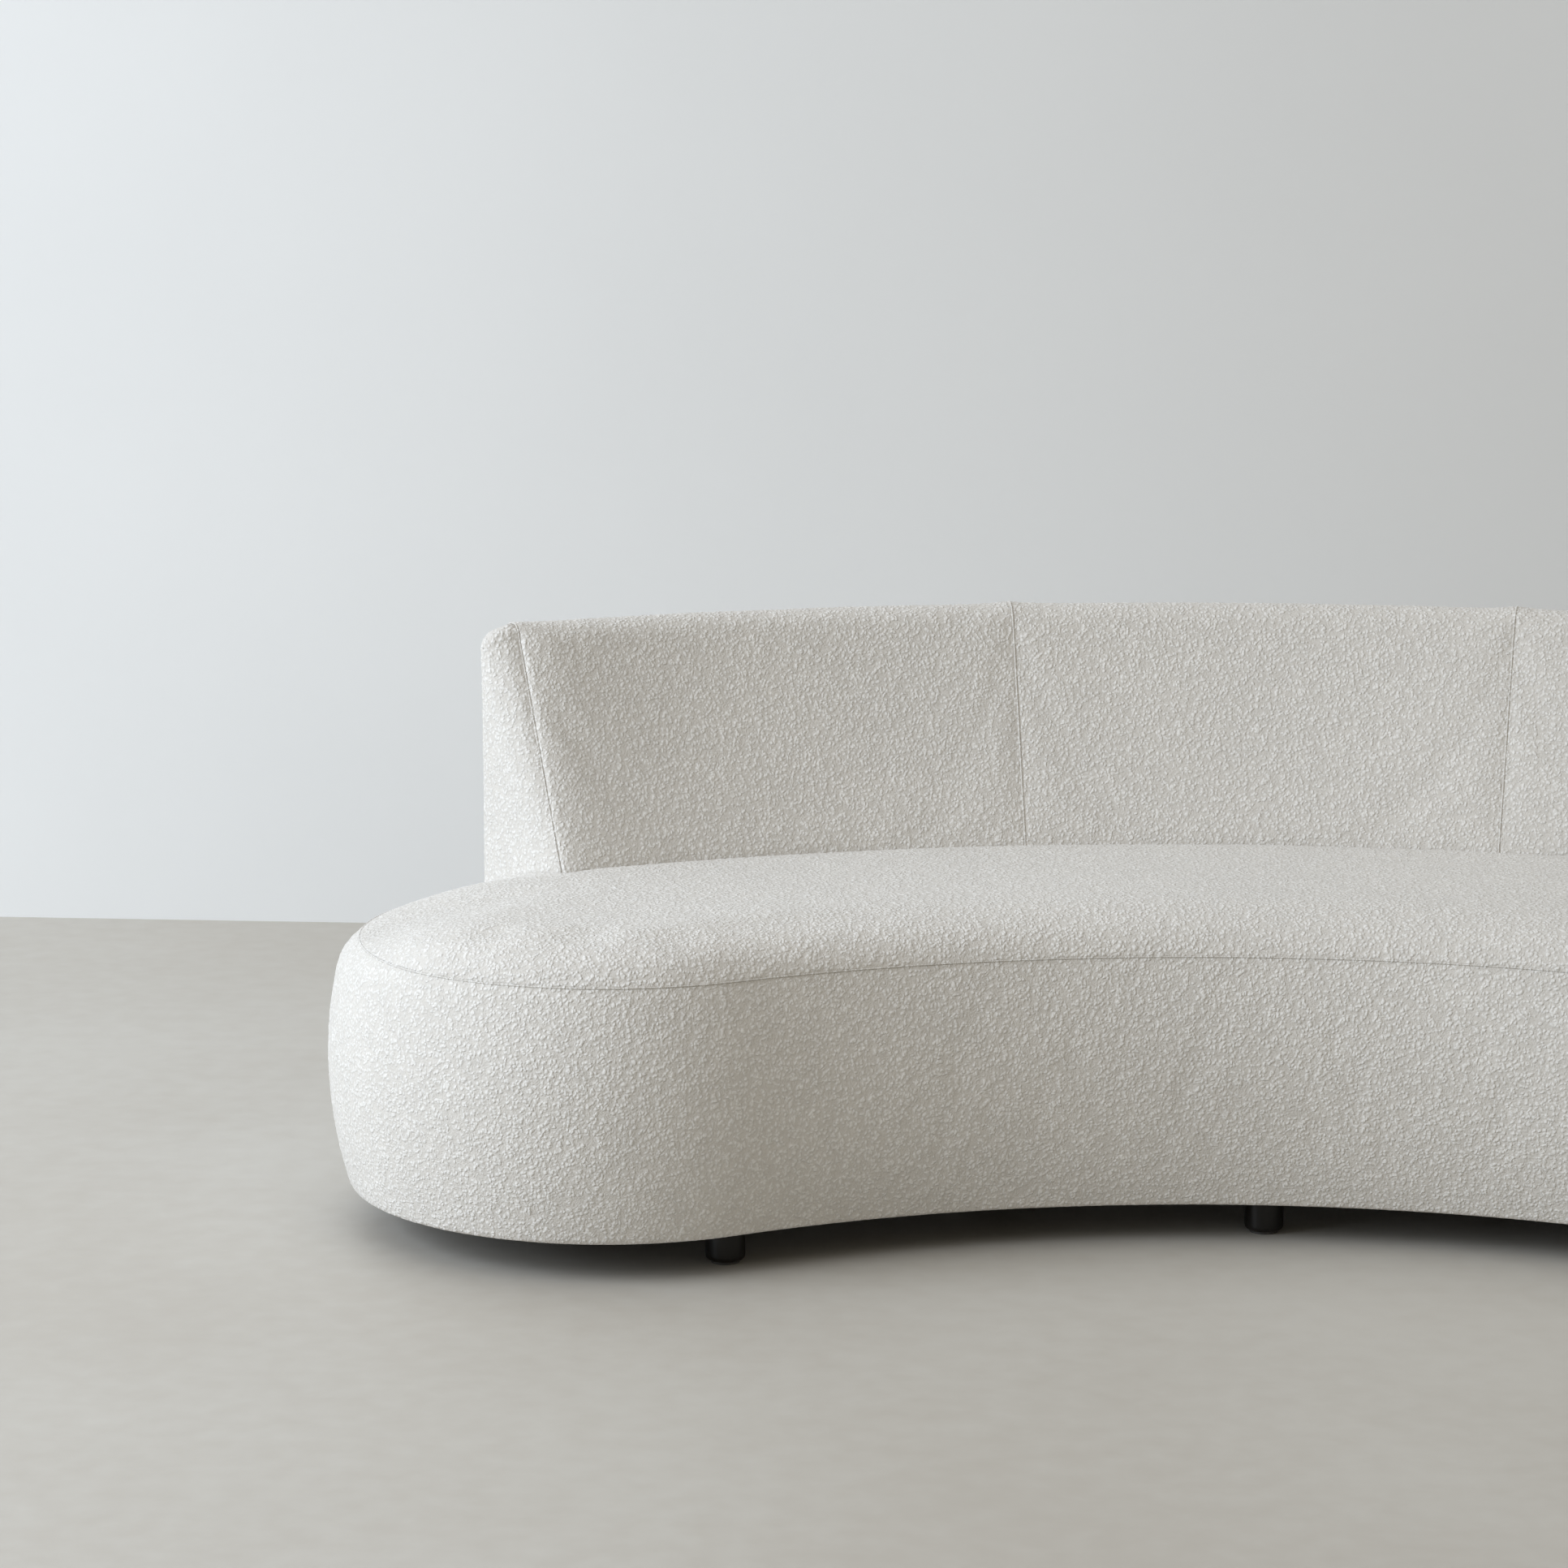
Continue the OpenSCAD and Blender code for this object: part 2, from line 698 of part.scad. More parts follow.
base_panel();
front_rail();
rear_rail();
left_end_rail();
right_end_rail();
seat_ribs();
foot_blocks();
seat_deck();
webbing_straps();
seat_foam_core();
side_foam_front();
side_foam_rear();
side_foam_left();
side_foam_right();
seat_topper();
cover_seat_top();
cover_seat_side();
dust_cover();
back_bottom_rail();
back_ribs();
back_end_board_left();
back_end_board_right();
back_top_rail();
back_inner_board();
back_outer_board();
back_inner_foam();
back_outer_foam();
back_top_roll();
back_end_pad_left();
back_end_pad_right();
cover_back_left();
cover_back_centre();
cover_back_right();
cover_back_outer();
cover_back_end_left();
cover_back_end_right();
foot_front_left();
foot_front_centre();
foot_front_right();
foot_rear_far_left();
foot_rear_left();
foot_rear_right();
foot_rear_far_right();
foot_studs();
foot_tnuts();
foot_glides();
back_bolts();
back_washers();
back_tnuts();
base_screws();
deck_screws();
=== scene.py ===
import contextlib
import json
import math

import bmesh
import bpy
import numpy as np
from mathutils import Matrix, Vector


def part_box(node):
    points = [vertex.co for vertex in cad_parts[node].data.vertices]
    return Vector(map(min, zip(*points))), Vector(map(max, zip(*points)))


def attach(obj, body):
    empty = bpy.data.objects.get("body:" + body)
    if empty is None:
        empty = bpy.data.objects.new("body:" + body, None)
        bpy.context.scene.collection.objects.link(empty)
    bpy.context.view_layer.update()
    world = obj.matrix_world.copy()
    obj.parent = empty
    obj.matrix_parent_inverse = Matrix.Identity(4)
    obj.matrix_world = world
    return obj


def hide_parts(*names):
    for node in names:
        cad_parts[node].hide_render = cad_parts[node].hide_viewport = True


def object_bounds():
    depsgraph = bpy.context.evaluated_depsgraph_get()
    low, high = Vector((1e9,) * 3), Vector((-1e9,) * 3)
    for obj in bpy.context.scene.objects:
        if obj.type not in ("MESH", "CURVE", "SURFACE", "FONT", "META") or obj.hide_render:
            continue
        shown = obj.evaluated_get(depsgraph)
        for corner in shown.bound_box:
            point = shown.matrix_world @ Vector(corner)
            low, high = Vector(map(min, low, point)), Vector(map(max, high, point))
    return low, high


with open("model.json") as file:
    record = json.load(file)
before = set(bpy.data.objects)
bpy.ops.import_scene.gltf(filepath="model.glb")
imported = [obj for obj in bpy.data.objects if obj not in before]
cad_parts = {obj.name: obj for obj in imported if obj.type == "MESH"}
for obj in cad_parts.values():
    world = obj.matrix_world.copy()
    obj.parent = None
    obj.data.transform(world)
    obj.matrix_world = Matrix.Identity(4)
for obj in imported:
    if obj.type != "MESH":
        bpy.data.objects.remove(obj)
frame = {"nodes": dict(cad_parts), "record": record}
CAD_LOW, CAD_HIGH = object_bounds()

# ---- Sizes of the sofa, in metres ----
REAR_R = 1.945          # long rear edge of the seat
FRONT_R = 1.180         # hollow front edge
END_R = 0.370           # round seat ends
SHOULDER_W = 0.075      # round shoulder inside the top seam
BULGE_H = 0.220         # fullest height of the side
HEM_INSET = 0.026       # pull-in at the lower edge
SEAM_INSET = 0.024      # pull-in at the top seam
FRAME_INSET = 0.042     # side padding's depth
BACK_LEAN = math.radians(23)
ROLL_R = 0.036          # roll along the top of the back
BACK_SETBACK = 0.010
END_SEAM_OUT = 0.009    # how far outside the end board the end seam runs
PAD_FRONT_T = 0.004     # end pad's swell beyond its seam at the inner face and at the outer face
PAD_REAR_T = 0.045
COVER_T = 0.002
FOAM_LOW = 0.040        # foam on the inner board at seat height and at the top rail
FOAM_HIGH = 0.018
OUTER_FOAM_T = 0.016
PLY_T = 0.018

CELL = 0.008            # spacing of a pad's mesh before its last subdivision
CURL = 0.0012           # how deep a cover turns in at a seam
END_ROUND = 0.045       # length over which the back rounds off towards its ends
END_DROP = 0.012        # and how far the inner face drops there
END_DROP_SHARE = 0.25   # share of that drop on the roll's top and on the outer face
END_SWELL_R = 0.030     # how far in from its seam the end pad reaches its full swell
RIM_W = 0.160           # width, start and slump of the softer rim round the seat's outer ends
RIM_LOW = 0.340
RIM_SLUMP = 0.30
NUB = 0.0050            # size of one curl of the cloth
NUB_HEIGHT = 0.0011
SIM_FRAMES = 20         # length of the cloth simulation
DIP_SHARE = 0.8         # depth and half width of the dip at a back seam, the depth as a share of CURL
DIP_W = 0.0028
LIP_H = 0.0035          # height over which a seat pad turns in at the seam
DUST_INSET = 0.0105     # dust cloth's edge and its staples, in from the hem
STAPLE_INSET = 0.017
DUST_T = 0.0006
FOOT_HOLE_R = 0.0262
ROOM = 14               # half size of the floor, height of the wall and where it stands
WALL_H = 7
WALL_Y = 1.70

SEAT_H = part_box("cover_seat_top")[1].z
SEAM_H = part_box("cover_seat_top")[0].z
BASE_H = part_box("cover_seat_side")[0].z
PANEL_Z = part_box("base_panel")[0].z
OVERALL_H = CAD_HIGH.z
END_X = (CAD_HIGH.x - CAD_LOW.x) / 2 - END_R

rear_to_end = math.sqrt((REAR_R - END_R) ** 2 - END_X ** 2)
front_to_end = math.sqrt((FRONT_R + END_R) ** 2 - END_X ** 2)
REAR_C = np.array([0.0, -(REAR_R + rear_to_end - END_R) / 2])
END_C = np.array([END_X, REAR_C[1] + rear_to_end])
FRONT_C = np.array([0.0, END_C[1] - front_to_end])
REAR_TURN = math.atan2(END_X, rear_to_end)
FRONT_TURN = math.atan2(END_X, front_to_end)

BACK_FACE_R = REAR_R - SEAM_INSET
ROLL_CR = BACK_FACE_R - ROLL_R
ROLL_CZ = OVERALL_H - ROLL_R
ROLL_START = math.pi - BACK_LEAN
BACK_FRONT_R = (ROLL_CR + ROLL_R * math.cos(ROLL_START)
                - (ROLL_CZ + ROLL_R * math.sin(ROLL_START) - SEAT_H) * math.tan(BACK_LEAN))
BACK_TURN = REAR_TURN - BACK_SETBACK / BACK_FACE_R
PANEL_TURN = BACK_TURN / 3
END_TURN = BACK_TURN + END_SEAM_OUT / BACK_FACE_R


# ---- Shared helpers ----
def heading(turn):
    """Unit direction in plan, turned from +Y towards +X."""
    return np.stack([np.sin(turn), np.cos(turn)], -1)


def new_object(name, mesh):
    thing = bpy.data.objects.new(name, mesh)
    bpy.context.scene.collection.objects.link(thing)
    return thing


def set_attribute(mesh, name, values):
    layer = mesh.attributes.get(name) or mesh.attributes.new(name, "FLOAT", "POINT")
    layer.data.foreach_set("value", np.asarray(values, np.float32))


def get_attribute(mesh, name):
    values = np.zeros(len(mesh.vertices), np.float32)
    mesh.attributes[name].data.foreach_get("value", values)
    return values


def positions(mesh):
    co = np.zeros(len(mesh.vertices) * 3, np.float32)
    mesh.vertices.foreach_get("co", co)
    return co.reshape(-1, 3).astype(float)


def place(mesh, co):
    mesh.vertices.foreach_set("co", np.asarray(co, np.float32).ravel())
    mesh.update()


def eased(share):
    """0 to 1 with a soft start and a soft end."""
    return share ** 2 * (3 - 2 * share)


@contextlib.contextmanager
def reshaped(mesh):
    """Opens a mesh for editing and writes it back."""
    work = bmesh.new()
    work.from_mesh(mesh)
    yield work
    work.to_mesh(mesh)
    work.free()


def line_object(name, points, closed):
    """An object that is only a line through the points."""
    count = len(points)
    mesh = bpy.data.meshes.new(name)
    edges = [(i, i + 1) for i in range(count - 1)] + ([(count - 1, 0)] if closed else [])
    mesh.from_pydata(np.asarray(points).tolist(), edges, [])
    return new_object(name, mesh)


def finish_with(thing, finish):
    thing.data.materials.clear()
    thing.data.materials.append(finish)


def sheet_of_points(points, around=False, along=False, start=0):
    """Quads over a grid of points: around closes the second direction and along the first."""
    rows, columns = points.shape[:2]
    index = np.arange(rows * columns).reshape(rows, columns) + start
    if around:
        index = np.concatenate([index, index[:, :1]], 1)
    if along:
        index = np.concatenate([index, index[:1]], 0)
    return np.stack([index[:-1, :-1], index[1:, :-1], index[1:, 1:], index[:-1, 1:]], -1).reshape(-1, 4)


def pad_mesh(name, grids, held):
    """One mesh from several grids of points; held marks the points that the sewing and frame hold still."""
    points, faces, still, start = [], [], [], 0
    for (grid, around, along), mask in zip(grids, held):
        points.append(grid.reshape(-1, 3))
        faces.append(sheet_of_points(grid, around, along, start))
        still.append(np.broadcast_to(mask, grid.shape[:2]).reshape(-1))
        start += grid.shape[0] * grid.shape[1]
    mesh = bpy.data.meshes.new(name)
    mesh.from_pydata(np.concatenate(points).tolist(), [], np.concatenate(faces).tolist())
    set_attribute(mesh, "held", np.concatenate(still).astype(float))
    with reshaped(mesh) as work:
        bmesh.ops.remove_doubles(work, verts=work.verts, dist=1e-4)
        bmesh.ops.recalc_face_normals(work, faces=work.faces)
    return new_object(name, mesh)


def settle(thing):
    """Turns whatever the modifiers make into a plain mesh and takes the modifiers off."""
    graph = bpy.context.evaluated_depsgraph_get()
    graph.update()
    made = bpy.data.meshes.new_from_object(thing.evaluated_get(graph), preserve_all_data_layers=True,
                                           depsgraph=graph)
    thing.modifiers.clear()
    thing.data = made
    made.name = thing.name
    return thing


def smooth_over(mesh, values, rounds):
    """Averages values between neighbouring points."""
    edges = np.zeros(len(mesh.edges) * 2, np.int64)
    mesh.edges.foreach_get("vertices", edges)
    edges = edges.reshape(-1, 2)
    count = np.zeros(len(mesh.vertices))
    np.add.at(count, edges.ravel(), 1)
    for _ in range(rounds):
        total = np.zeros_like(values)
        np.add.at(total, edges[:, 0], values[edges[:, 1]])
        np.add.at(total, edges[:, 1], values[edges[:, 0]])
        values = 0.5 * values + 0.5 * total / np.maximum(count, 1)[:, None]
    return values


def puff(pad, pressure, most):
    """Cloth simulation of the stretched cover over its foam, held along its seams."""
    start = positions(pad.data)
    held = get_attribute(pad.data, "held")
    group = pad.vertex_groups.new(name="held")
    for weight in (0.5, 1.0):
        group.add(np.nonzero(held >= weight)[0].tolist(), weight, "REPLACE")
    cloth = pad.modifiers.new("cover", "CLOTH")
    cloth.settings.quality = 4
    cloth.settings.mass = 0.35
    cloth.settings.tension_stiffness = 25
    cloth.settings.compression_stiffness = 25
    cloth.settings.shear_stiffness = 10
    cloth.settings.bending_stiffness = 4
    cloth.settings.vertex_group_mass = "held"
    cloth.settings.use_pressure = True
    cloth.settings.uniform_pressure_force = pressure
    cloth.settings.effector_weights.gravity = 0
    cloth.collision_settings.use_collision = False
    cloth.point_cache.frame_start = 1
    cloth.point_cache.frame_end = SIM_FRAMES
    for number in range(1, SIM_FRAMES + 1):
        bpy.context.scene.frame_set(number)
    graph = bpy.context.evaluated_depsgraph_get()
    moved = positions(pad.evaluated_get(graph).data) - start
    pad.modifiers.clear()
    bpy.context.scene.frame_set(1)
    length = np.linalg.norm(moved, axis=1, keepdims=True)
    moved *= most * np.tanh(length / most) / np.maximum(length, 1e-9)
    moved = smooth_over(pad.data, moved, 3) * (1 - held)[:, None]
    place(pad.data, start + moved)


def subdivide(pad):
    rounder = pad.modifiers.new("round", "SUBSURF")
    rounder.levels = 1
    rounder.render_levels = 1
    rounder.boundary_smooth = "PRESERVE_CORNERS"
    return settle(pad)


def close_open_edges(pad):
    """Fills what is still open with flat faces, where the pad rests on its neighbour."""
    with reshaped(pad.data) as work:
        open_edges = [e for e in work.edges if e.is_boundary]
        while open_edges:
            loop, front = set(), [open_edges[0]]
            while front:
                edge = front.pop()
                if edge in loop:
                    continue
                loop.add(edge)
                front += [e for v in edge.verts for e in v.link_edges if e.is_boundary and e not in loop]
            bmesh.ops.triangle_fill(work, edges=list(loop), use_beauty=False, use_dissolve=False)
            left = [e for e in work.edges if e.is_boundary]
            if len(left) >= len(open_edges):
                break
            open_edges = left
        bmesh.ops.recalc_face_normals(work, faces=work.faces)


def spaced(length, cell, fine_start=True, fine_end=True):
    """Distances from 0 to length, closer together next to a seam."""
    fine = [0.0, 0.0016, 0.0036, 0.0066, 0.0110]
    low = fine if fine_start else [0.0]
    high = [length - f for f in reversed(fine)] if fine_end else [length]
    count = max(2, round((high[0] - low[-1]) / cell))
    middle = np.linspace(low[-1], high[0], count + 1)[1:-1]
    return np.array(low + middle.tolist() + high)


# ---- Node building ----
class Nodes:
    """Places nodes in a tree in a readable way."""

    def __init__(self, tree):
        self.tree = tree

    def add(self, kind, inputs=(), out=0, **settings):
        made = self.tree.nodes.new(kind)
        for key, value in settings.items():
            setattr(made, key, value)
        for key, value in dict(inputs).items():
            self.feed(made.inputs[key], value)
        return made.outputs[out]

    def feed(self, socket, value):
        if isinstance(value, bpy.types.NodeSocket):
            self.tree.links.new(value, socket)
        else:
            socket.default_value = value

    def math(self, operation, a, b=0.0, c=0.0):
        return self.add("ShaderNodeMath", {0: a, 1: b, 2: c}, operation=operation)

    def vector(self, operation, a, b=(0, 0, 0)):
        return self.add("ShaderNodeVectorMath", {0: a, 1: b}, operation=operation)

    def scaled(self, vector, factor):
        made = self.tree.nodes.new("ShaderNodeVectorMath")
        made.operation = "SCALE"
        self.feed(made.inputs[0], vector)
        self.feed(made.inputs["Scale"], factor)
        return made.outputs[0]

    def noise(self, vector, scale, detail=2.0):
        return self.add("ShaderNodeTexNoise", {"Vector": vector, "Scale": scale, "Detail": detail}, out="Fac")

    def span(self, value, low, high, to_low=0.0, to_high=1.0, smooth=True):
        return self.add("ShaderNodeMapRange", {"Value": value, "From Min": low, "From Max": high,
                                               "To Min": to_low, "To Max": to_high},
                        interpolation_type="SMOOTHSTEP" if smooth else "LINEAR")

    def blend(self, factor, a, b, mode="MIX"):
        made = self.tree.nodes.new("ShaderNodeMix")
        made.data_type = "RGBA"
        made.blend_type = mode
        self.feed(made.inputs["Factor"], factor)
        self.feed(made.inputs[6], a)
        self.feed(made.inputs[7], b)
        return made.outputs[2]


def curly(nodes, where, size):
    """Height of the curled yarn, 0 in the gaps and 1 on a curl, at a place."""
    grid = nodes.scaled(where, nodes.math("DIVIDE", 1.0, size))
    sway = nodes.add("ShaderNodeTexNoise", {"Vector": grid, "Scale": 0.55, "Detail": 1.0}, out="Color")
    bent = nodes.vector("ADD", grid, nodes.scaled(nodes.vector("SUBTRACT", sway, (0.5, 0.5, 0.5)), 1.1))
    blob = nodes.add("ShaderNodeTexVoronoi", {"Vector": bent, "Scale": 1.0, "Smoothness": 0.45}, out="Distance",
                     feature="SMOOTH_F1")
    round_part = nodes.span(blob, 0.12, 0.62, 1.0, 0.0)
    wave = nodes.noise(bent, 1.15, 1.0)
    ridge = nodes.span(nodes.math("ABSOLUTE", nodes.math("SUBTRACT", wave, 0.5)), 0.0, 0.16, 1.0, 0.0)
    return nodes.math("ADD", nodes.math("MULTIPLY", round_part, 0.78), nodes.math("MULTIPLY", ridge, 0.22))


def group_tree(name, inputs, outputs):
    tree = bpy.data.node_groups.new(name, "ShaderNodeTree")
    for label, kind, value in inputs:
        socket = tree.interface.new_socket(label, in_out="INPUT", socket_type=kind)
        if value is not None:
            socket.default_value = value
    for label, kind in outputs:
        tree.interface.new_socket(label, in_out="OUTPUT", socket_type=kind)
    return tree, Nodes(tree), tree.nodes.new("NodeGroupInput"), tree.nodes.new("NodeGroupOutput")


def curled_cloth_group():
    tree, n, given, result = group_tree(
        "curled_cloth",
        [("Place", "NodeSocketVector", None), ("Curl Size", "NodeSocketFloat", NUB),
         ("Light Yarn", "NodeSocketColor", None), ("Painted Gap Shade", "NodeSocketColor", None)],
        [("Color", "NodeSocketColor"), ("Height", "NodeSocketFloat"), ("Roughness", "NodeSocketFloat")])
    place_in = given.outputs["Place"]
    height = curly(n, place_in, given.outputs["Curl Size"])
    fibre = n.noise(place_in, 900.0, 2.0)
    broad = n.noise(place_in, 3.2, 2.0)
    patch = n.noise(place_in, 38.0, 2.0)
    # The gaps between the curls get a darker colour by curl height: painted shade in the hollows of the yarn
    yarn_and_gap_shade = n.blend(n.span(height, 0.08, 0.70), given.outputs["Painted Gap Shade"], given.outputs["Light Yarn"])
    shade = n.math("ADD", n.span(broad, 0.25, 0.75, 0.975, 1.015), n.span(patch, 0.3, 0.7, -0.022, 0.018))
    grey = n.add("ShaderNodeCombineColor", {"Red": shade, "Green": shade,
                                            "Blue": n.math("MULTIPLY", shade, 0.998)})
    n.feed(result.inputs["Color"], n.blend(1.0, yarn_and_gap_shade, grey, "MULTIPLY"))
    n.feed(result.inputs["Height"], n.math("ADD", height, n.math("MULTIPLY", fibre, 0.10)))
    n.feed(result.inputs["Roughness"], n.span(height, 0.0, 1.0, 0.98, 0.86))
    return tree


def grain_group():
    tree, n, given, result = group_tree(
        "wood_grain",
        [("Place", "NodeSocketVector", None), ("Ring Size", "NodeSocketFloat", 0.004),
         ("Light Wood", "NodeSocketColor", None), ("Dark Wood", "NodeSocketColor", None)],
        [("Color", "NodeSocketColor"), ("Height", "NodeSocketFloat"), ("Mask", "NodeSocketFloat")])
    place_in = given.outputs["Place"]
    long_way = n.vector("MULTIPLY", place_in, (1.0, 1.0, 0.07))
    sway = n.noise(long_way, 9.0, 3.0)
    rings = n.math("FRACT", n.math("MULTIPLY", sway, n.math("DIVIDE", 0.03, given.outputs["Ring Size"])))
    band = n.span(n.math("ABSOLUTE", n.math("SUBTRACT", rings, 0.5)), 0.0, 0.5)
    pores = n.noise(n.vector("MULTIPLY", place_in, (900.0, 900.0, 60.0)), 1.0, 2.0)
    mask = n.math("ADD", n.math("MULTIPLY", band, 0.7), n.math("MULTIPLY", n.span(pores, 0.45, 0.7), 0.3))
    n.feed(result.inputs["Color"], n.blend(mask, given.outputs["Light Wood"], given.outputs["Dark Wood"]))
    n.feed(result.inputs["Height"], n.math("SUBTRACT", 1.0, mask))
    n.feed(result.inputs["Mask"], mask)
    return tree


def new_material(name, roughness=0.5, metallic=0.0):
    made = bpy.data.materials.new(name)
    made.use_nodes = True
    made.node_tree.nodes.clear()
    n = Nodes(made.node_tree)
    shader = made.node_tree.nodes.new("ShaderNodeBsdfPrincipled")
    shader.inputs["Roughness"].default_value = roughness
    shader.inputs["Metallic"].default_value = metallic
    out = made.node_tree.nodes.new("ShaderNodeOutputMaterial")
    made.node_tree.links.new(shader.outputs[0], out.inputs["Surface"])
    place_in = n.add("ShaderNodeTexCoord", out="Object")
    return made, n, shader, place_in


def use_group(n, tree, inputs):
    made = n.tree.nodes.new("ShaderNodeGroup")
    made.node_tree = tree
    for label, value in inputs.items():
        n.feed(made.inputs[label], value)
    return made.outputs


def bump(n, shader, height, distance, strength=1.0):
    n.feed(shader.inputs["Normal"], n.add("ShaderNodeBump", {"Height": height, "Distance": distance,
                                                             "Strength": strength}, out="Normal"))


def boucle_material(group):
    made, n, shader, place_in = new_material("ivory_boucle")
    # The darker gap colour is painted shade between the curls; the light colour is the yarn's own
    cloth = use_group(n, group, {"Place": place_in, "Curl Size": NUB, "Light Yarn": (0.81, 0.795, 0.765, 1),
                                 "Painted Gap Shade": (0.67, 0.645, 0.605, 1)})
    n.feed(shader.inputs["Base Color"], cloth["Color"])
    n.feed(shader.inputs["Roughness"], cloth["Roughness"])
    shader.inputs["Specular IOR Level"].default_value = 0.15
    shader.inputs["Sheen Weight"].default_value = 0.25
    shader.inputs["Sheen Roughness"].default_value = 0.5
    bump(n, shader, cloth["Height"], 0.0020, 0.7)
    return made


def black_wood_material(group):
    made, n, shader, place_in = new_material("black_stained_wood", 0.38)
    wood = use_group(n, group, {"Place": place_in, "Ring Size": 0.0035, "Light Wood": (0.011, 0.010, 0.009, 1),
                                "Dark Wood": (0.004, 0.0036, 0.0032, 1)})
    height = n.add("ShaderNodeSeparateXYZ", {0: place_in}, out="Z")
    patches = n.span(n.noise(place_in, 160.0, 3.0), 0.45, 0.75)
    rub = n.math("MULTIPLY", n.span(height, 0.004, 0.013, 1.0, 0.0), patches)
    n.feed(shader.inputs["Base Color"], n.blend(n.math("MULTIPLY", rub, 0.35), wood["Color"],
                                                (0.07, 0.052, 0.038, 1)))
    n.feed(shader.inputs["Roughness"], n.math("ADD", n.span(wood["Mask"], 0.0, 1.0, 0.30, 0.44),
                                              n.math("MULTIPLY", rub, 0.2)))
    shader.inputs["Specular IOR Level"].default_value = 0.3
    shader.inputs["Coat Weight"].default_value = 0.10
    shader.inputs["Coat Roughness"].default_value = 0.35
    bump(n, shader, wood["Height"], 0.00015, 0.6)
    return made


def plywood_material(group):
    made, n, shader, place_in = new_material("birch_plywood", 0.62)
    wood = use_group(n, group, {"Place": place_in, "Ring Size": 0.006, "Light Wood": (0.62, 0.47, 0.30, 1),
                                "Dark Wood": (0.45, 0.31, 0.18, 1)})
    level = n.add("ShaderNodeSeparateXYZ", {0: place_in}, out="Z")
    layers = n.math("FRACT", n.math("MULTIPLY", level, 1 / 0.0026))
    dark_layer = n.span(n.math("ABSOLUTE", n.math("SUBTRACT", layers, 0.5)), 0.2, 0.3)
    n.feed(shader.inputs["Base Color"], n.blend(n.math("MULTIPLY", dark_layer, 0.18), wood["Color"],
                                                (0.30, 0.20, 0.11, 1)))
    n.feed(shader.inputs["Roughness"], n.span(wood["Mask"], 0.0, 1.0, 0.58, 0.70))
    bump(n, shader, wood["Height"], 0.0002, 0.5)
    return made


def foam_material():
    made, n, shader, place_in = new_material("cut_foam", 0.9)
    cells = n.add("ShaderNodeTexVoronoi", {"Vector": place_in, "Scale": 700.0}, out="Distance")
    broad = n.noise(place_in, 6.0, 3.0)
    dark = n.math("MULTIPLY", n.span(cells, 0.1, 0.6), n.span(broad, 0.2, 0.8))
    n.feed(shader.inputs["Base Color"], n.blend(dark, (0.80, 0.72, 0.48, 1), (0.66, 0.57, 0.34, 1)))
    n.feed(shader.inputs["Roughness"], n.span(cells, 0.0, 0.7, 0.84, 0.98))
    bump(n, shader, cells, 0.0006, 0.7)
    return made


def woven_material(name, thread, light, dark, roughness=0.85):
    """Plain weave of threads that cross in plan, used for the webbing and the dust cloth."""
    made, n, shader, place_in = new_material(name, roughness)
    parts = n.tree.nodes.new("ShaderNodeSeparateXYZ")
    n.feed(parts.inputs[0], place_in)
    across = n.math("SINE", n.math("MULTIPLY", parts.outputs["X"], 2 * math.pi / thread))
    down = n.math("SINE", n.math("MULTIPLY", parts.outputs["Y"], 2 * math.pi / thread))
    over = n.span(n.math("MULTIPLY", across, down), -1.0, 1.0, smooth=False)
    fuzz = n.noise(place_in, 420.0, 3.0)
    mix = n.math("ADD", n.math("MULTIPLY", over, 0.6), n.math("MULTIPLY", fuzz, 0.4))
    n.feed(shader.inputs["Base Color"], n.blend(mix, dark, light))
    n.feed(shader.inputs["Roughness"], n.span(fuzz, 0.3, 0.7, roughness - 0.06, roughness + 0.08))
    bump(n, shader, mix, thread * 0.25, 0.6)
    return made


def steel_material():
    made, n, shader, place_in = new_material("zinc_plated_steel", 0.34, 1.0)
    spangle = n.add("ShaderNodeTexVoronoi", {"Vector": place_in, "Scale": 420.0}, out="Distance")
    smear = n.noise(place_in, 90.0, 4.0)
    n.feed(shader.inputs["Base Color"], n.blend(n.span(smear, 0.35, 0.7), (0.62, 0.63, 0.64, 1),
                                                (0.46, 0.46, 0.45, 1)))
    n.feed(shader.inputs["Roughness"], n.math("ADD", n.span(smear, 0.3, 0.7, 0.26, 0.42),
                                              n.math("MULTIPLY", spangle, 0.08)))
    bump(n, shader, smear, 0.00006, 0.4)
    return made


def plastic_material():
    made, n, shader, place_in = new_material("glide_plastic", 0.5)
    speck = n.noise(place_in, 700.0, 3.0)
    scuff = n.noise(n.vector("MULTIPLY", place_in, (1.0, 6.0, 1.0)), 120.0, 4.0)
    n.feed(shader.inputs["Base Color"], n.blend(n.span(scuff, 0.5, 0.72), (0.055, 0.055, 0.055, 1),
                                                (0.11, 0.108, 0.10, 1)))
    n.feed(shader.inputs["Roughness"], n.span(scuff, 0.4, 0.7, 0.42, 0.68))
    bump(n, shader, speck, 0.0001, 0.5)
    return made


# ---- Relief, seams and staples, made by geometry trees ----
def geometry_tree(name, inputs):
    """A geometry tree with named number inputs, a material input and geometry in and out."""
    tree = bpy.data.node_groups.new(name, "GeometryNodeTree")
    face = tree.interface
    face.new_socket("Geometry", in_out="INPUT", socket_type="NodeSocketGeometry")
    for label, value in inputs:
        kind = "NodeSocketInt" if isinstance(value, int) else "NodeSocketFloat"
        face.new_socket(label, in_out="INPUT", socket_type=kind).default_value = value
    face.new_socket("Finish", in_out="INPUT", socket_type="NodeSocketMaterial")
    face.new_socket("Geometry", in_out="OUTPUT", socket_type="NodeSocketGeometry")
    return tree, Nodes(tree), tree.nodes.new("NodeGroupInput"), tree.nodes.new("NodeGroupOutput")


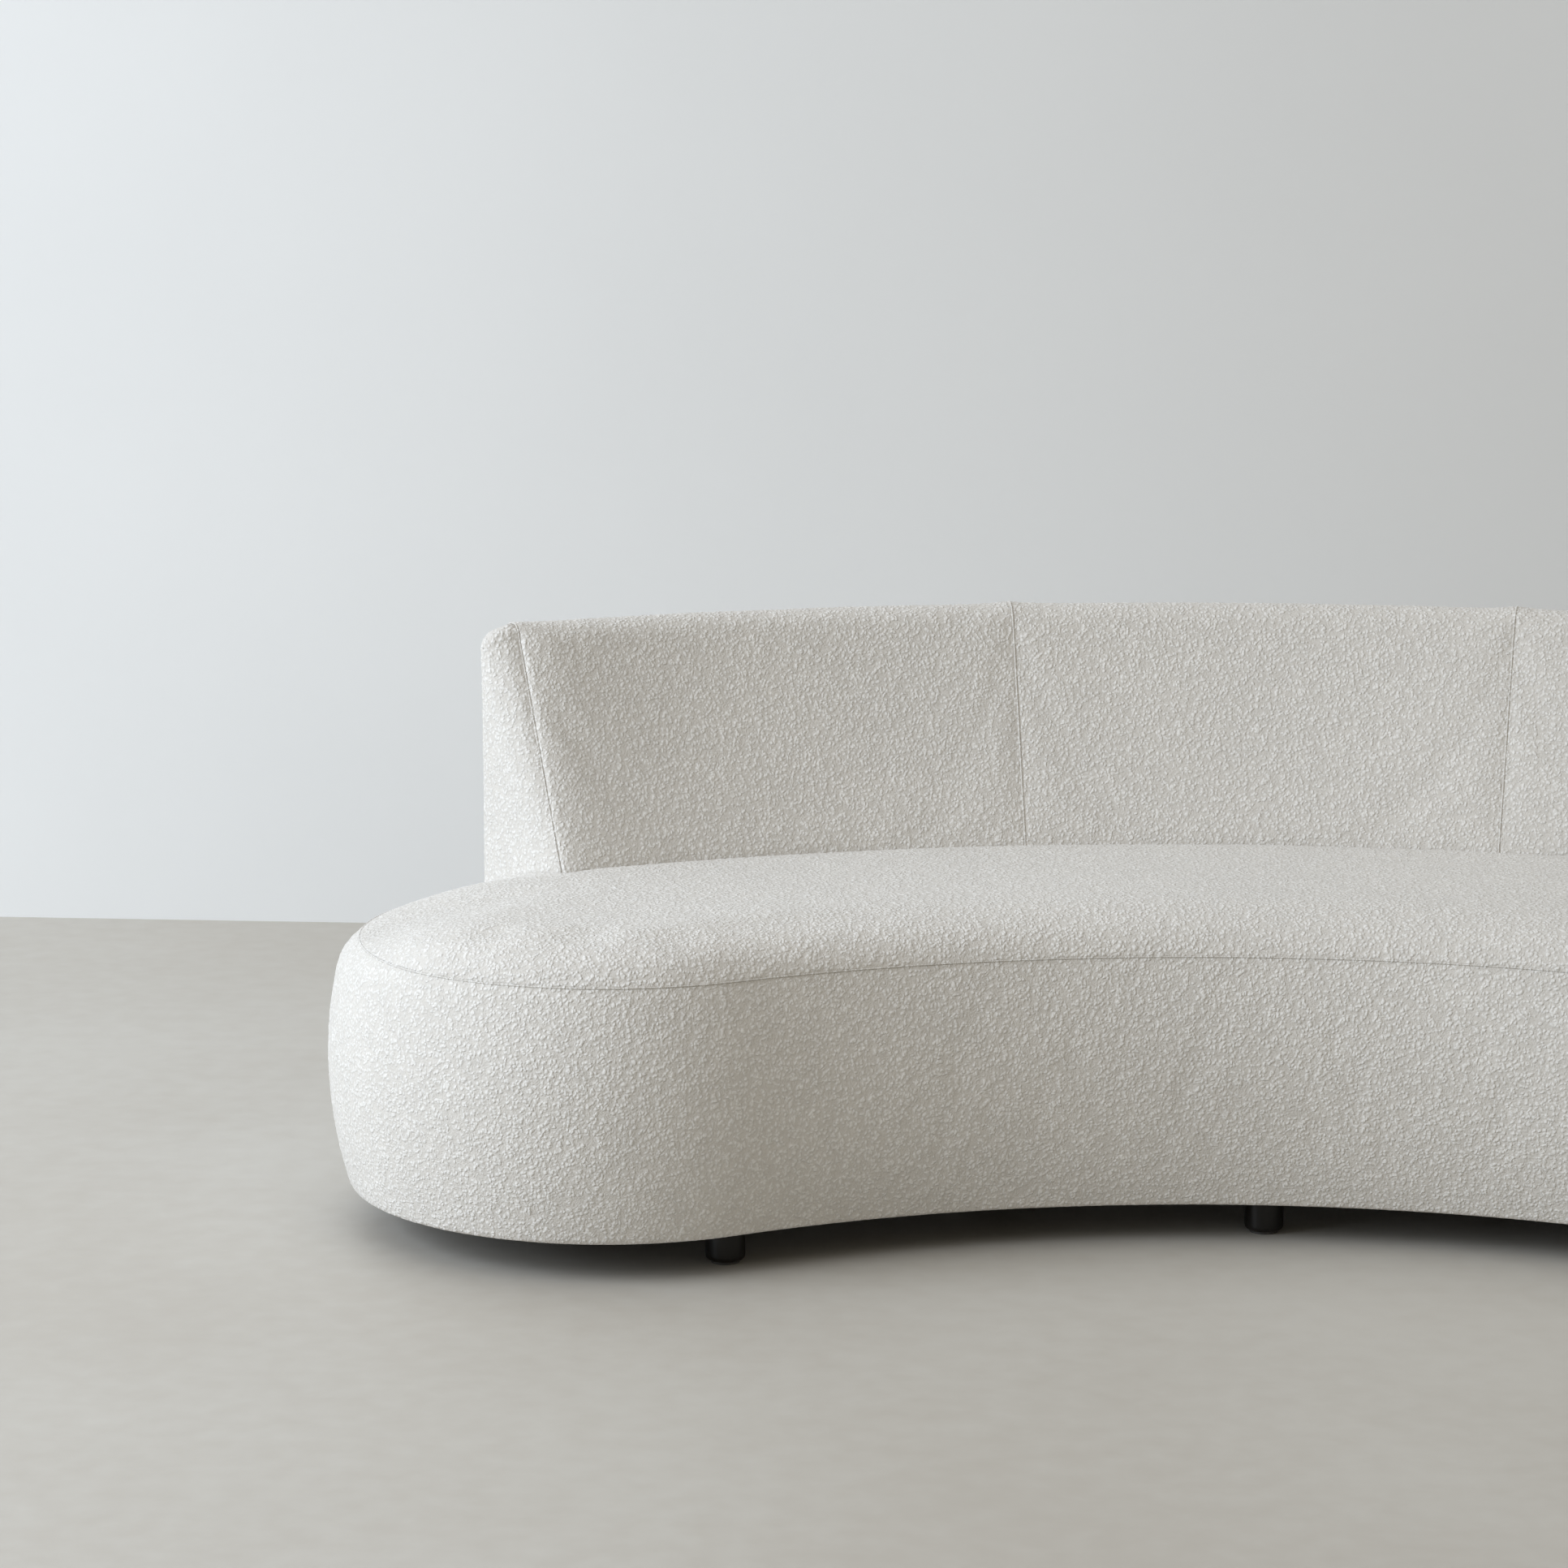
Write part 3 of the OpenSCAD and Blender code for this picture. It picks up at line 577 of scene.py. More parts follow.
def end_tree(n, given, result, geometry):
    whole = n.add("GeometryNodeRealizeInstances", {"Geometry": geometry})
    n.feed(result.inputs[0], n.add("GeometryNodeSetMaterial", {"Geometry": whole,
                                                               "Material": given.outputs["Finish"]}))


def relief_tree():
    """Lifts a cover's surface into curls of yarn where its 'shown' attribute is set."""
    tree, n, given, result = geometry_tree("curled_relief", [("Curl Size", NUB), ("Curl Height", NUB_HEIGHT),
                                                             ("Unevenness", 0.0012)])
    where = n.add("GeometryNodeInputPosition")
    shown = n.add("GeometryNodeInputNamedAttribute", {"Name": "shown"}, data_type="FLOAT")
    curls = n.math("MULTIPLY", n.math("SUBTRACT", curly(n, where, given.outputs["Curl Size"]), 0.5),
                   given.outputs["Curl Height"])
    broad = n.math("MULTIPLY", n.math("SUBTRACT", n.noise(where, 7.0, 1.0), 0.5), given.outputs["Unevenness"])
    lift = n.math("MULTIPLY", n.math("ADD", curls, broad), shown)
    outward = n.scaled(n.add("GeometryNodeInputNormal"), lift)
    moved = n.add("GeometryNodeSetPosition", {"Geometry": given.outputs["Geometry"], "Offset": outward})
    end_tree(n, given, result, n.add("GeometryNodeSetShadeSmooth", {"Geometry": moved}))
    return tree


def socket_names(tree):
    return {item.name: item.identifier for item in tree.interface.items_tree
            if item.item_type == "SOCKET" and item.in_out == "INPUT"}


def grow(thing, tree, values):
    """Runs a geometry tree on an object and keeps the result as a plain mesh."""
    modifier = thing.modifiers.new("make", "NODES")
    modifier.node_group = tree
    names = socket_names(tree)
    for label, value in values.items():
        modifier[names[label]] = value
    return settle(thing)


def seam_tree():
    """A sewn seam: the edges of two covers folded together into a low, slightly uneven ridge."""
    tree, n, given, result = geometry_tree("sewn_seam", [("Ridge Radius", 0.0011), ("Step", 0.0020),
                                                         ("Unevenness", 0.0005)])
    line = n.add("GeometryNodeMeshToCurve", {"Mesh": given.outputs["Geometry"]})
    even = n.add("GeometryNodeResampleCurve", {"Curve": line, "Length": given.outputs["Step"]}, mode="LENGTH")
    ring = n.add("GeometryNodeCurvePrimitiveCircle", {"Resolution": 6, "Radius": given.outputs["Ridge Radius"]})
    tube = n.add("GeometryNodeCurveToMesh", {"Curve": even, "Profile Curve": ring, "Fill Caps": True})
    where = n.add("GeometryNodeInputPosition")
    shake = n.math("MULTIPLY", n.math("SUBTRACT", n.noise(where, 260.0, 2.0), 0.5), given.outputs["Unevenness"])
    rough = n.add("GeometryNodeSetPosition", {"Geometry": tube,
                                              "Offset": n.scaled(n.add("GeometryNodeInputNormal"), shake)})
    end_tree(n, given, result, n.add("GeometryNodeSetShadeSmooth", {"Geometry": rough}))
    return tree


# ---- The seat ----
def outline(cell):
    """Points round the seat's fullest line, their outward directions and how soft the rim is there."""
    def stations(turns, centre, radius, outward, soft=False):
        toward = heading(turns)
        return centre + radius * toward, toward * outward, rim_softness(turns) * soft

    def count(span, radius):
        return max(8, round(span * radius / cell))

    front = np.linspace(-FRONT_TURN, FRONT_TURN, count(2 * FRONT_TURN, FRONT_R), endpoint=False)
    end_span = math.pi + FRONT_TURN - REAR_TURN
    end = np.linspace(math.pi + FRONT_TURN, REAR_TURN, count(end_span, END_R), endpoint=False)
    rear = np.linspace(REAR_TURN, -REAR_TURN, count(2 * REAR_TURN, REAR_R), endpoint=False)
    flip = np.array([-1, 1])
    parts = [stations(front, FRONT_C, FRONT_R, -1), stations(end, END_C, END_R, 1, True),
             stations(rear, REAR_C, REAR_R, 1)]
    left_end = np.linspace(-REAR_TURN, -math.pi - FRONT_TURN, len(end), endpoint=False)
    parts.append(stations(left_end, END_C * flip, END_R, 1, True))
    return tuple(np.concatenate([p[i] for p in parts]) for i in range(3))


def rim_softness(turns):
    """1 round the outside of a seat end, 0 at its front and where the back begins."""
    turn = np.abs(turns)
    grow_in = np.clip((turn - math.radians(34)) / math.radians(9), 0, 1)
    fade = np.clip((math.radians(152) - turn) / math.radians(55), 0, 1)
    return eased(grow_in) * eased(fade)


def soft_inset(z):
    """Extra pull-in of the soft rim at a height, before it slumps."""
    share = np.clip((z - RIM_LOW) / (SEAT_H - RIM_LOW), 0, 1)
    return RIM_W * (1 - (1 - share ** 2) ** (1 / 1.5))


def upper_inset(z):
    return SEAM_INSET * ((z - BULGE_H) / (SEAM_H - BULGE_H)) ** 2


def side_inset(z):
    low = HEM_INSET * ((BULGE_H - z) / (BULGE_H - BASE_H)) ** 2
    return np.where(z < BULGE_H, low, upper_inset(z))


def side_profile():
    """The side pad's closed outline as [inset, z], and which points are held."""
    heights = np.linspace(BASE_H + 0.007, SEAM_H - 0.0080, 39)
    outer = [(side_inset(z), z, 0) for z in heights]
    hem = HEM_INSET
    low = [(FRAME_INSET - 0.001, PANEL_Z - 0.0002, 1), (hem + 0.009, PANEL_Z - 0.0003, 1),
           (hem + 0.0035, BASE_H + 0.0009, 1), (hem - 0.0002, BASE_H + 0.0030, 0.5)]
    high = [(SEAM_INSET - 0.0001, SEAM_H - 0.0045, 0.5), (SEAM_INSET + 0.0006, SEAM_H - 0.0018, 1),
            (SEAM_INSET + CURL, SEAM_H - 0.0005, 1), (SEAM_INSET + 0.008, SEAM_H - 0.0003, 1),
            (FRAME_INSET - 0.001, SEAM_H - 0.0003, 1)]
    inner = [(FRAME_INSET - 0.0006, (SEAM_H + PANEL_Z) / 2, 1)]
    return np.array(low + outer + high + inner)


def make_seat_side():
    base, outward, soft = outline(CELL)
    profile = side_profile()
    inset = profile[None, :, 0] + soft[:, None] * soft_inset(profile[None, :, 1])
    tucked = profile[None, :, 0] > SEAM_INSET + CURL + 0.001
    inset = np.where(tucked, np.maximum(inset, profile[None, :, 0]), inset)
    plan = base[:, None, :] - outward[:, None, :] * inset[..., None]
    grid = np.concatenate([plan, np.broadcast_to(profile[None, :, 1, None], plan.shape[:2] + (1,))], -1)
    pad = pad_mesh("seat_side_pad", [(grid, True, True)], [profile[None, :, 2]])
    puff(pad, 4.0, 0.005)
    subdivide(pad)
    co = positions(pad.data)
    held = get_attribute(pad.data, "held")
    set_attribute(pad.data, "shown", np.clip(1.25 - held, 0, 1) * (co[:, 2] < SEAM_H - 0.0012))
    return pad


def shoulder_table():
    """Arc length, inset from the seam and height along the shoulder, from the seam to the flat top."""
    angle = np.linspace(0, math.pi / 2, 200)
    inset = SHOULDER_W * (1 - np.cos(angle))
    rise = (SEAT_H - SEAM_H) * np.sin(angle)
    inset += CURL * np.exp(-(rise / LIP_H) ** 2)
    length = np.concatenate([[0], np.cumsum(np.hypot(np.diff(inset), np.diff(rise)))])
    return length, inset, SEAM_H + 0.0005 + rise * (SEAT_H - SEAM_H - 0.0005) / (SEAT_H - SEAM_H)


def soft_rim_table():
    """The same for the softer rim round the seat's outer ends, up to the end's middle, and its own inset."""
    height = SEAT_H - (SEAT_H - SEAM_H) * np.linspace(1, 0, 300) ** 2
    inset = upper_inset(height) + soft_inset(height)
    inset = np.concatenate([inset, np.linspace(inset[-1], END_R, 80)[1:]])
    height = np.concatenate([height, np.full(79, SEAT_H)])
    height = SEAM_H + (height - SEAM_H) * (1 - RIM_SLUMP * np.exp(-(inset / 0.2) ** 2))
    start = inset[0]
    inset = inset - start + CURL * np.exp(-((height - SEAM_H) / LIP_H) ** 2)
    length = np.concatenate([[0], np.cumsum(np.hypot(np.diff(inset), np.diff(height)))])
    return length, inset, np.maximum(height, SEAM_H + 0.0005), start


def over_the_top(middle, edge, share, soft):
    """Points on the seat's top, share of the way from the middle line (0) to the seam (1)."""
    length, inset, height = shoulder_table()
    reach = np.linalg.norm(edge - middle, axis=-1)
    left = (1 - share) * (reach - SHOULDER_W + length[-1])
    inward = np.where(left < length[-1], np.interp(left, length, inset), SHOULDER_W + left - length[-1])
    z = np.where(left < length[-1], np.interp(left, length, height), SEAT_H)
    length, inset, height, start = soft_rim_table()
    shift = start - SEAM_INSET
    end = np.interp(reach - shift, inset, length)
    soft_left = (1 - share) * end
    soft_inward = shift + np.interp(soft_left, length, inset)
    soft_z = np.interp(soft_left, length, height)
    inward = inward * (1 - soft) + soft_inward * soft
    z = z * (1 - soft) + soft_z * soft
    toward = (edge - middle) / reach[..., None]
    plan = middle + toward * (reach - inward)[..., None]
    return np.concatenate([plan, z[..., None]], -1)


def half_disc(rows, columns):
    """Distance (0 to 1) and angle (-90 to 90 degrees) for a grid that fills half a disc."""
    u, v = np.meshgrid(np.linspace(0, 1, rows), columns, indexing="ij")
    x = u * np.sqrt(1 - v * v / 2)
    y = v * np.sqrt(1 - u * u / 2)
    return np.hypot(x, y), np.arctan2(y, np.maximum(x, 1e-12))


def crossing(count):
    """Shares from -1 to 1 across a pad, with the last cells closer together."""
    half = spaced(1.0, 1.0 / count, False, False)
    near = np.array([0.9945])
    half = np.concatenate([half[:-1], near, half[-1:]])
    return np.concatenate([-half[::-1], half[1:]])


def make_seat_top():
    across = crossing(46)
    seam_front = FRONT_R + SEAM_INSET
    seam_rear = REAR_R - SEAM_INSET
    seam_end = END_R - SEAM_INSET
    bend = END_C - (FRONT_C + seam_front * heading(FRONT_TURN) + REAR_C + seam_rear * heading(REAR_TURN)) / 2
    share = np.linspace(-1, 1, 222)
    front = FRONT_C + seam_front * heading(share * FRONT_TURN)
    rear = REAR_C + seam_rear * heading(share * REAR_TURN)
    middle = (front + rear) / 2 + (share ** 2)[:, None] * bend * np.stack([np.sign(share), np.ones_like(share)], -1)
    edge = np.where((across < 0)[None, :, None], front[:, None], rear[:, None])
    strip = over_the_top(np.broadcast_to(middle[:, None], edge.shape), edge, np.abs(across)[None], 0.0)
    reach, angle = half_disc(48, across)
    turn = REAR_TURN + (math.pi / 2 - angle) / math.pi * (math.pi + FRONT_TURN - REAR_TURN)
    toward = heading(turn)
    cap = over_the_top(np.broadcast_to(END_C, toward.shape), END_C + seam_end * toward, reach,
                       rim_softness(turn))
    other = cap * np.array([-1, 1, 1])
    grids = [(grid, False, False) for grid in (strip, cap, other)]
    pad = pad_mesh("seat_top_pad", grids, [0, 0, 0])
    co = positions(pad.data)
    radius = np.hypot(co[:, 0] - REAR_C[0], co[:, 1] - REAR_C[1])
    turned = np.abs(np.arctan2(co[:, 0], co[:, 1] - REAR_C[1]))
    under_back = (radius > BACK_FRONT_R - 0.004) & (turned < END_TURN + 0.015)
    near_seam = co[:, 2] < SEAM_H + 0.004
    set_attribute(pad.data, "held", np.maximum(under_back, near_seam).astype(float))
    puff(pad, 4.0, 0.006)
    subdivide(pad)
    return pad


# ---- The back ----
def end_drop(distance):
    """How far the back's surface drops at a distance from its end."""
    share = np.clip(1 - distance / END_ROUND, 0, 1)
    return END_DROP * (1 - np.sqrt(np.maximum(1 - share ** 2, 0)))


def roll_radius(angle, depth):
    """The roll's radius at an angle, where the inner face lies depth deep."""
    share = np.clip((angle - math.radians(100)) / (ROLL_START - math.radians(100)), 0, 1)
    return ROLL_R - depth * (END_DROP_SHARE + (1 - END_DROP_SHARE) * eased(share))


def seam_dip(distance):
    """How far a back pad dips at a distance from its seam."""
    return CURL * DIP_SHARE * np.exp(-(distance / DIP_W) ** 2)


def inner_line(depth):
    """The back's inner face and roll as [radius, z] at a depth, from the seat seam to the rear seam."""
    radius = ROLL_R - depth
    low = np.array([BACK_FRONT_R + depth, SEAT_H])
    high = np.array([ROLL_CR + radius * math.cos(ROLL_START), ROLL_CZ + radius * math.sin(ROLL_START)])
    upright = [np.array([BACK_FRONT_R + depth, z]) for z in np.linspace(SEAM_H, SEAT_H, 6, endpoint=False)]
    lean = [low + (high - low) * s for s in np.linspace(0, 1, round(0.33 / CELL), endpoint=False)]
    angles = np.concatenate([np.linspace(ROLL_START, 0.16, 13), [0.08, 0.0]])
    reach = roll_radius(angles, depth)
    roll = [np.array([ROLL_CR + r * math.cos(a), ROLL_CZ + r * math.sin(a)]) for a, r in zip(angles, reach)]
    return np.array(upright + lean + roll)


def board_radius(z):
    low = BACK_FRONT_R + COVER_T + FOAM_LOW
    top_rail_z = ROLL_CZ - PLY_T
    roll_r = ROLL_R - COVER_T
    reach = ROLL_CR + roll_r * math.cos(ROLL_START)
    face = BACK_FRONT_R + COVER_T
    share = (top_rail_z - SEAT_H) / (ROLL_CZ + roll_r * math.sin(ROLL_START) - SEAT_H)
    high = face + (reach - face) * share + FOAM_HIGH
    return low + (high - low) * max(0.0, z - SEAT_H) / (top_rail_z - SEAT_H)


def back_point(section, turns):
    """Section points [.., (radius, z)] placed round the rear centre at the given turns."""
    toward = heading(turns)
    plan = REAR_C + toward * section[..., 0, None]
    return np.concatenate([plan, section[..., 1, None]], -1)


def make_inner_panel(name, start, stop):
    """One sewn panel with its foam: up the inner face, over the roll, closed behind on the boards."""
    length = (stop - start) * BACK_FACE_R
    along = spaced(length, CELL)
    turns = start + along / BACK_FACE_R
    from_end = (END_TURN - np.abs(turns)) * BACK_FACE_R
    rows = []
    for distance, dip in zip(from_end, seam_dip(along) + seam_dip(length - along)):
        line = inner_line(end_drop(distance) + dip)
        last = line[-1]
        behind = np.array([[last[0] - 0.0012, ROLL_CZ - 0.0004], [last[0] - 0.008, ROLL_CZ - 0.0006],
                           [board_radius(ROLL_CZ), ROLL_CZ - 0.0006], [board_radius(SEAT_H), SEAT_H],
                           [board_radius(SEAM_H), SEAM_H + 0.001]])
        rows.append(np.concatenate([line, behind]))
    section = np.array(rows)
    visible = section.shape[1] - 5
    grid = back_point(section, np.broadcast_to(turns[:, None], section.shape[:2]))
    held = np.zeros(section.shape[:2])
    held[:, visible - 3:] = 1
    held[:, :7] = 1
    held[:4] = held[-4:] = 1
    pad = pad_mesh(name, [(grid, True, False)], [held])
    puff(pad, 3.0, 0.003)
    subdivide(pad)
    return pad


def make_outer_panel():
    """The back's plain outer face: a thin pad from the side seam to the seam under the roll."""
    length = 2 * END_TURN * BACK_FACE_R
    along = spaced(length, CELL)
    turns = -END_TURN + along / BACK_FACE_R
    from_end = np.minimum(along, length - along)
    heights = SEAM_H + 0.0006 + spaced(ROLL_CZ - SEAM_H - 0.0012, CELL)
    up = np.minimum(heights - heights[0], heights[-1] - heights)
    rows = []
    for distance in from_end:
        drop = end_drop(distance) * END_DROP_SHARE + seam_dip(up)
        face = np.stack([BACK_FACE_R - drop, heights], -1)
        inner = BACK_FACE_R - OUTER_FOAM_T - COVER_T
        behind = np.array([[inner, heights[-1]], [inner, heights[0]]])
        rows.append(np.concatenate([face, behind]))
    section = np.array(rows)
    grid = back_point(section, np.broadcast_to(turns[:, None], section.shape[:2]))
    held = np.zeros(section.shape[:2])
    held[:, -5:] = 1
    held[:, :3] = 1
    held[:4] = held[-4:] = 1
    pad = pad_mesh("back_outer_pad", [(grid, True, False)], [held])
    puff(pad, 3.0, 0.003)
    subdivide(pad)
    return pad


def end_face(side):
    """The end pad's outer surface: the back's section, swelling from its seam outwards."""
    cells = crossing(11)
    levels = spaced(ROLL_CZ - SEAM_H, CELL, False, False) + SEAM_H
    centre = np.array([ROLL_CR, ROLL_CZ])
    low_front = np.array([BACK_FRONT_R + END_DROP, SEAT_H])
    tangent = centre + (ROLL_R - END_DROP) * np.array([math.cos(ROLL_START), math.sin(ROLL_START)])
    rear_r = BACK_FACE_R - END_DROP * END_DROP_SHARE
    lean = (tangent - low_front) / np.linalg.norm(tangent - low_front)
    rows = []
    for share in np.linspace(0, 1, len(levels)):
        z_front = SEAM_H + (tangent[1] - SEAM_H) * share
        rise = max(0.0, z_front - SEAT_H) / (tangent[1] - SEAT_H)
        front = low_front + (tangent - low_front) * rise
        front[1] = z_front
        rear = np.array([rear_r, SEAM_H + (ROLL_CZ - SEAM_H) * share])
        middle = (front + rear) / 2 * (1 - share ** 4) + centre * share ** 4
        rows.append([middle + ((front if c < 0 else rear) - middle) * abs(c) for c in cells])
    strip = np.array(rows)
    reach, angle = half_disc(6, cells)
    turn = (math.pi / 2 - angle) / math.pi * ROLL_START
    radius = roll_radius(turn, END_DROP)
    cap = centre + (reach * radius)[..., None] * np.stack([np.cos(turn), np.sin(turn)], -1)
    grids = []
    for flat in (strip, cap):
        r, z = flat[..., 0], flat[..., 1]
        beyond = r - low_front[0]
        to_front = np.where(z < SEAT_H, beyond, beyond * lean[1] - (z - SEAT_H) * lean[0])
        inside = (1 - reach) * radius if flat is cap else np.minimum(to_front, rear_r - r)
        share = np.clip(inside / END_SWELL_R, 0, 1)
        wide = np.interp(r, [BACK_FRONT_R, BACK_FACE_R - PAD_REAR_T / 2], [PAD_FRONT_T, PAD_REAR_T])
        out = wide * np.sqrt(1 - (1 - share) ** 2)
        toward = heading(np.full(r.shape, END_TURN))
        aside = np.stack([toward[..., 1], -toward[..., 0]], -1)
        plan = REAR_C + toward * r[..., None] + aside * out[..., None]
        grids.append(np.concatenate([plan * np.array([side, 1]), z[..., None]], -1))
    return grids


def make_end_pad(name, side):
    strip, cap = end_face(side)
    pad = pad_mesh(name, [(strip, False, False), (cap, False, False)], [0, 0])
    with reshaped(pad.data) as work:
        layer = work.verts.layers.float["held"]
        for vert in work.verts:
            vert[layer] = float(vert.is_boundary)
    puff(pad, 3.0, 0.003)
    subdivide(pad)
    return pad


# ---- Fitting the seat's top round the back ----
def back_plan():
    """Outline of the back in plan at seat height, as the pads make it, closed behind the back."""
    turns = np.linspace(-END_TURN, END_TURN, 300)
    drop = end_drop((END_TURN - np.abs(turns)) * BACK_FACE_R)
    inner = REAR_C + heading(turns) * (BACK_FRONT_R + drop)[:, None]
    strip = end_face(1)[0]
    row = strip[np.argmin(np.abs(strip[:, len(strip[0]) // 2, 2] - SEAT_H))][:, :2]
    far = REAR_C + heading(END_TURN + 0.02) * (REAR_R + 0.2)
    right = np.concatenate([row, far[None]])
    left = right[::-1] * np.array([-1, 1])
    return np.concatenate([inner, right[1:], left[:-1]])


def distance_to_line(points, line):
    """Shortest distance in plan from each point to a closed line."""
    best = np.full(len(points), 1e9)
    for a, b in zip(line, np.roll(line, -1, 0)):
        step = b - a
        share = np.clip(((points - a) @ step) / max(step @ step, 1e-12), 0, 1)
        best = np.minimum(best, np.linalg.norm(points - a - share[:, None] * step, axis=1))
    return best


def tuck_in(pad):
    """Tucks the seat's top down along the back and marks what shows."""
    co = positions(pad.data)
    near = distance_to_line(co[:, :2], back_plan())
    co[:, 2] -= 0.0045 * np.exp(-(near / 0.0075) ** 2) * (co[:, 2] > SEAM_H + 0.012)
    place(pad.data, co)
    set_attribute(pad.data, "shown", np.clip((co[:, 2] - SEAM_H - 0.0008) / 0.002, 0, 1))


def cut_well(pad):
    """Cuts the room for the back out of the seat's top."""
    well = back_plan()
    cutter = bpy.data.meshes.new("well")
    count = len(well)
    low, high = SEAM_H - 0.05, SEAT_H + 0.05
    cutter.from_pydata([(x, y, low) for x, y in well] + [(x, y, high) for x, y in well], [],
                       [list(range(count))[::-1], list(range(count, 2 * count))]
                       + [[i, (i + 1) % count, count + (i + 1) % count, count + i] for i in range(count)])
    tool = new_object("well", cutter)
    with reshaped(cutter) as work:
        bmesh.ops.triangulate(work, faces=[f for f in work.faces if len(f.verts) > 4])
        bmesh.ops.recalc_face_normals(work, faces=work.faces)
    cut = pad.modifiers.new("cut", "BOOLEAN")
    cut.operation = "DIFFERENCE"
    cut.solver = "MANIFOLD"
    cut.object = tool
    settle(pad)
    bpy.data.objects.remove(tool)


# ---- Seams ----
def seam(name, line, closed, tree, finish, radius):
    return grow(line_object(name, line, closed), tree, {"Ridge Radius": radius, "Finish": finish})


def seat_seam_line():
    base, outward, soft = outline(0.01)
    plan = base - outward * (SEAM_INSET + 0.0012 + soft * soft_inset(SEAM_H))[:, None]
    return np.concatenate([plan, np.full((len(plan), 1), SEAM_H)], -1)


def panel_seam_line(turn):
    line = inner_line(0.0008)
    line = line[line[:, 1] > SEAT_H - 0.012]
    return back_point(line, np.full(len(line), turn))


def rear_seam_line():
    turns = np.linspace(-END_TURN, END_TURN, 260)
    drop = end_drop((END_TURN - np.abs(turns)) * BACK_FACE_R) * END_DROP_SHARE
    return back_point(np.stack([BACK_FACE_R - 0.0008 - drop, np.full_like(turns, ROLL_CZ)], -1), turns)


def end_seam_line(side):
    line = inner_line(END_DROP + 0.0006)
    heights = np.linspace(ROLL_CZ, SEAM_H + 0.003, 40)[1:]
    down = np.array([[BACK_FACE_R - END_DROP * END_DROP_SHARE - 0.0006, z] for z in heights])
    line = np.concatenate([line[line[:, 1] > SEAT_H - 0.012], down])
    return back_point(line, np.full(len(line), side * (END_TURN + 0.0002)))


# ---- Underside ----
def rim_line(cell, inset, z):
    """The seat's outline drawn in by an inset, at one height."""
    base, outward, _ = outline(cell)
    rim = base - outward * inset
    return np.concatenate([rim, np.full((len(rim), 1), z)], -1)


def make_dust_cloth(finish):
    """Flat black cloth under the frame, with holes for the feet."""
    cloth = line_object("dust_cloth", rim_line(0.012, HEM_INSET + DUST_INSET, BASE_H), True)
    with reshaped(cloth.data) as work:
        for x, y in foot_places():
            hole = bmesh.ops.create_circle(work, segments=40, radius=FOOT_HOLE_R)["verts"]
            bmesh.ops.translate(work, verts=hole, vec=(x, y, BASE_H))
        bmesh.ops.triangle_fill(work, edges=work.edges[:], use_beauty=True)
        bmesh.ops.recalc_face_normals(work, faces=work.faces)
    wall = cloth.modifiers.new("thick", "SOLIDIFY")
    wall.thickness = DUST_T
    wall.offset = 0
    settle(cloth)
    finish_with(cloth, finish)
    return cloth


def foot_places():
    feet = [name for name in sorted(frame["nodes"]) if name.startswith(("foot_front", "foot_rear"))]
    return [((low.x + high.x) / 2, (low.y + high.y) / 2) for low, high in map(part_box, feet)]


def staple_tree():
    """Staples set at even steps along a line, across its direction."""
    tree, n, given, result = geometry_tree("staples", [("Step", 0.035), ("Width", 0.010), ("Wire", 0.0007),
                                                       ("Seed", 7)])
    line = n.add("GeometryNodeMeshToCurve", {"Mesh": given.outputs["Geometry"]})
    points = tree.nodes.new("GeometryNodeCurveToPoints")
    points.mode = "LENGTH"
    n.feed(points.inputs["Curve"], line)
    n.feed(points.inputs["Length"], given.outputs["Step"])
    size = n.add("ShaderNodeCombineXYZ", {"X": given.outputs["Width"], "Y": given.outputs["Wire"],
                                          "Z": given.outputs["Wire"]})
    wire = n.add("GeometryNodeMeshCube", {"Size": size})
    jitter = n.add("FunctionNodeRandomValue", {2: -0.35, 3: 0.35, "Seed": given.outputs["Seed"]}, out=1)
    turn = n.add("FunctionNodeAlignRotationToVector", {"Vector": points.outputs["Tangent"]}, axis="X",
                 pivot_axis="Z")
    spin = n.add("FunctionNodeRotateRotation", {0: turn, 1: n.add("FunctionNodeEulerToRotation", {
        0: n.add("ShaderNodeCombineXYZ", {"Z": jitter})})})
    set_out = n.add("GeometryNodeInstanceOnPoints", {"Points": points.outputs["Points"], "Instance": wire,
                                                     "Rotation": spin})
    end_tree(n, given, result, set_out)
    return tree


def make_staples(finish):
    rim = rim_line(0.01, HEM_INSET + STAPLE_INSET, BASE_H - 0.0005)
    return grow(line_object("dust_cloth_staples", rim, True), staple_tree(), {"Finish": finish})


# ---- Materials for the CAD parts that stay ----
def finish_frame(finishes):
    slots = {part["node"]: part["material_slot"] for part in frame["record"]["subparts"]}
    for name, part in frame["nodes"].items():
        finish_with(part, finishes[slots[name]])


# ---- Room, light and camera ----
def clear_from_behind(n, shader):
    """Lets a wall or floor be seen only from its front."""
    clear = n.tree.nodes.new("ShaderNodeBsdfTransparent")
    mixer = n.tree.nodes.new("ShaderNodeMixShader")
    n.feed(mixer.inputs[0], n.add("ShaderNodeNewGeometry", out="Backfacing"))
    n.tree.links.new(shader.outputs[0], mixer.inputs[1])
    n.tree.links.new(clear.outputs[0], mixer.inputs[2])
    out = next(node for node in n.tree.nodes if node.type == "OUTPUT_MATERIAL")
    n.tree.links.new(mixer.outputs[0], out.inputs["Surface"])


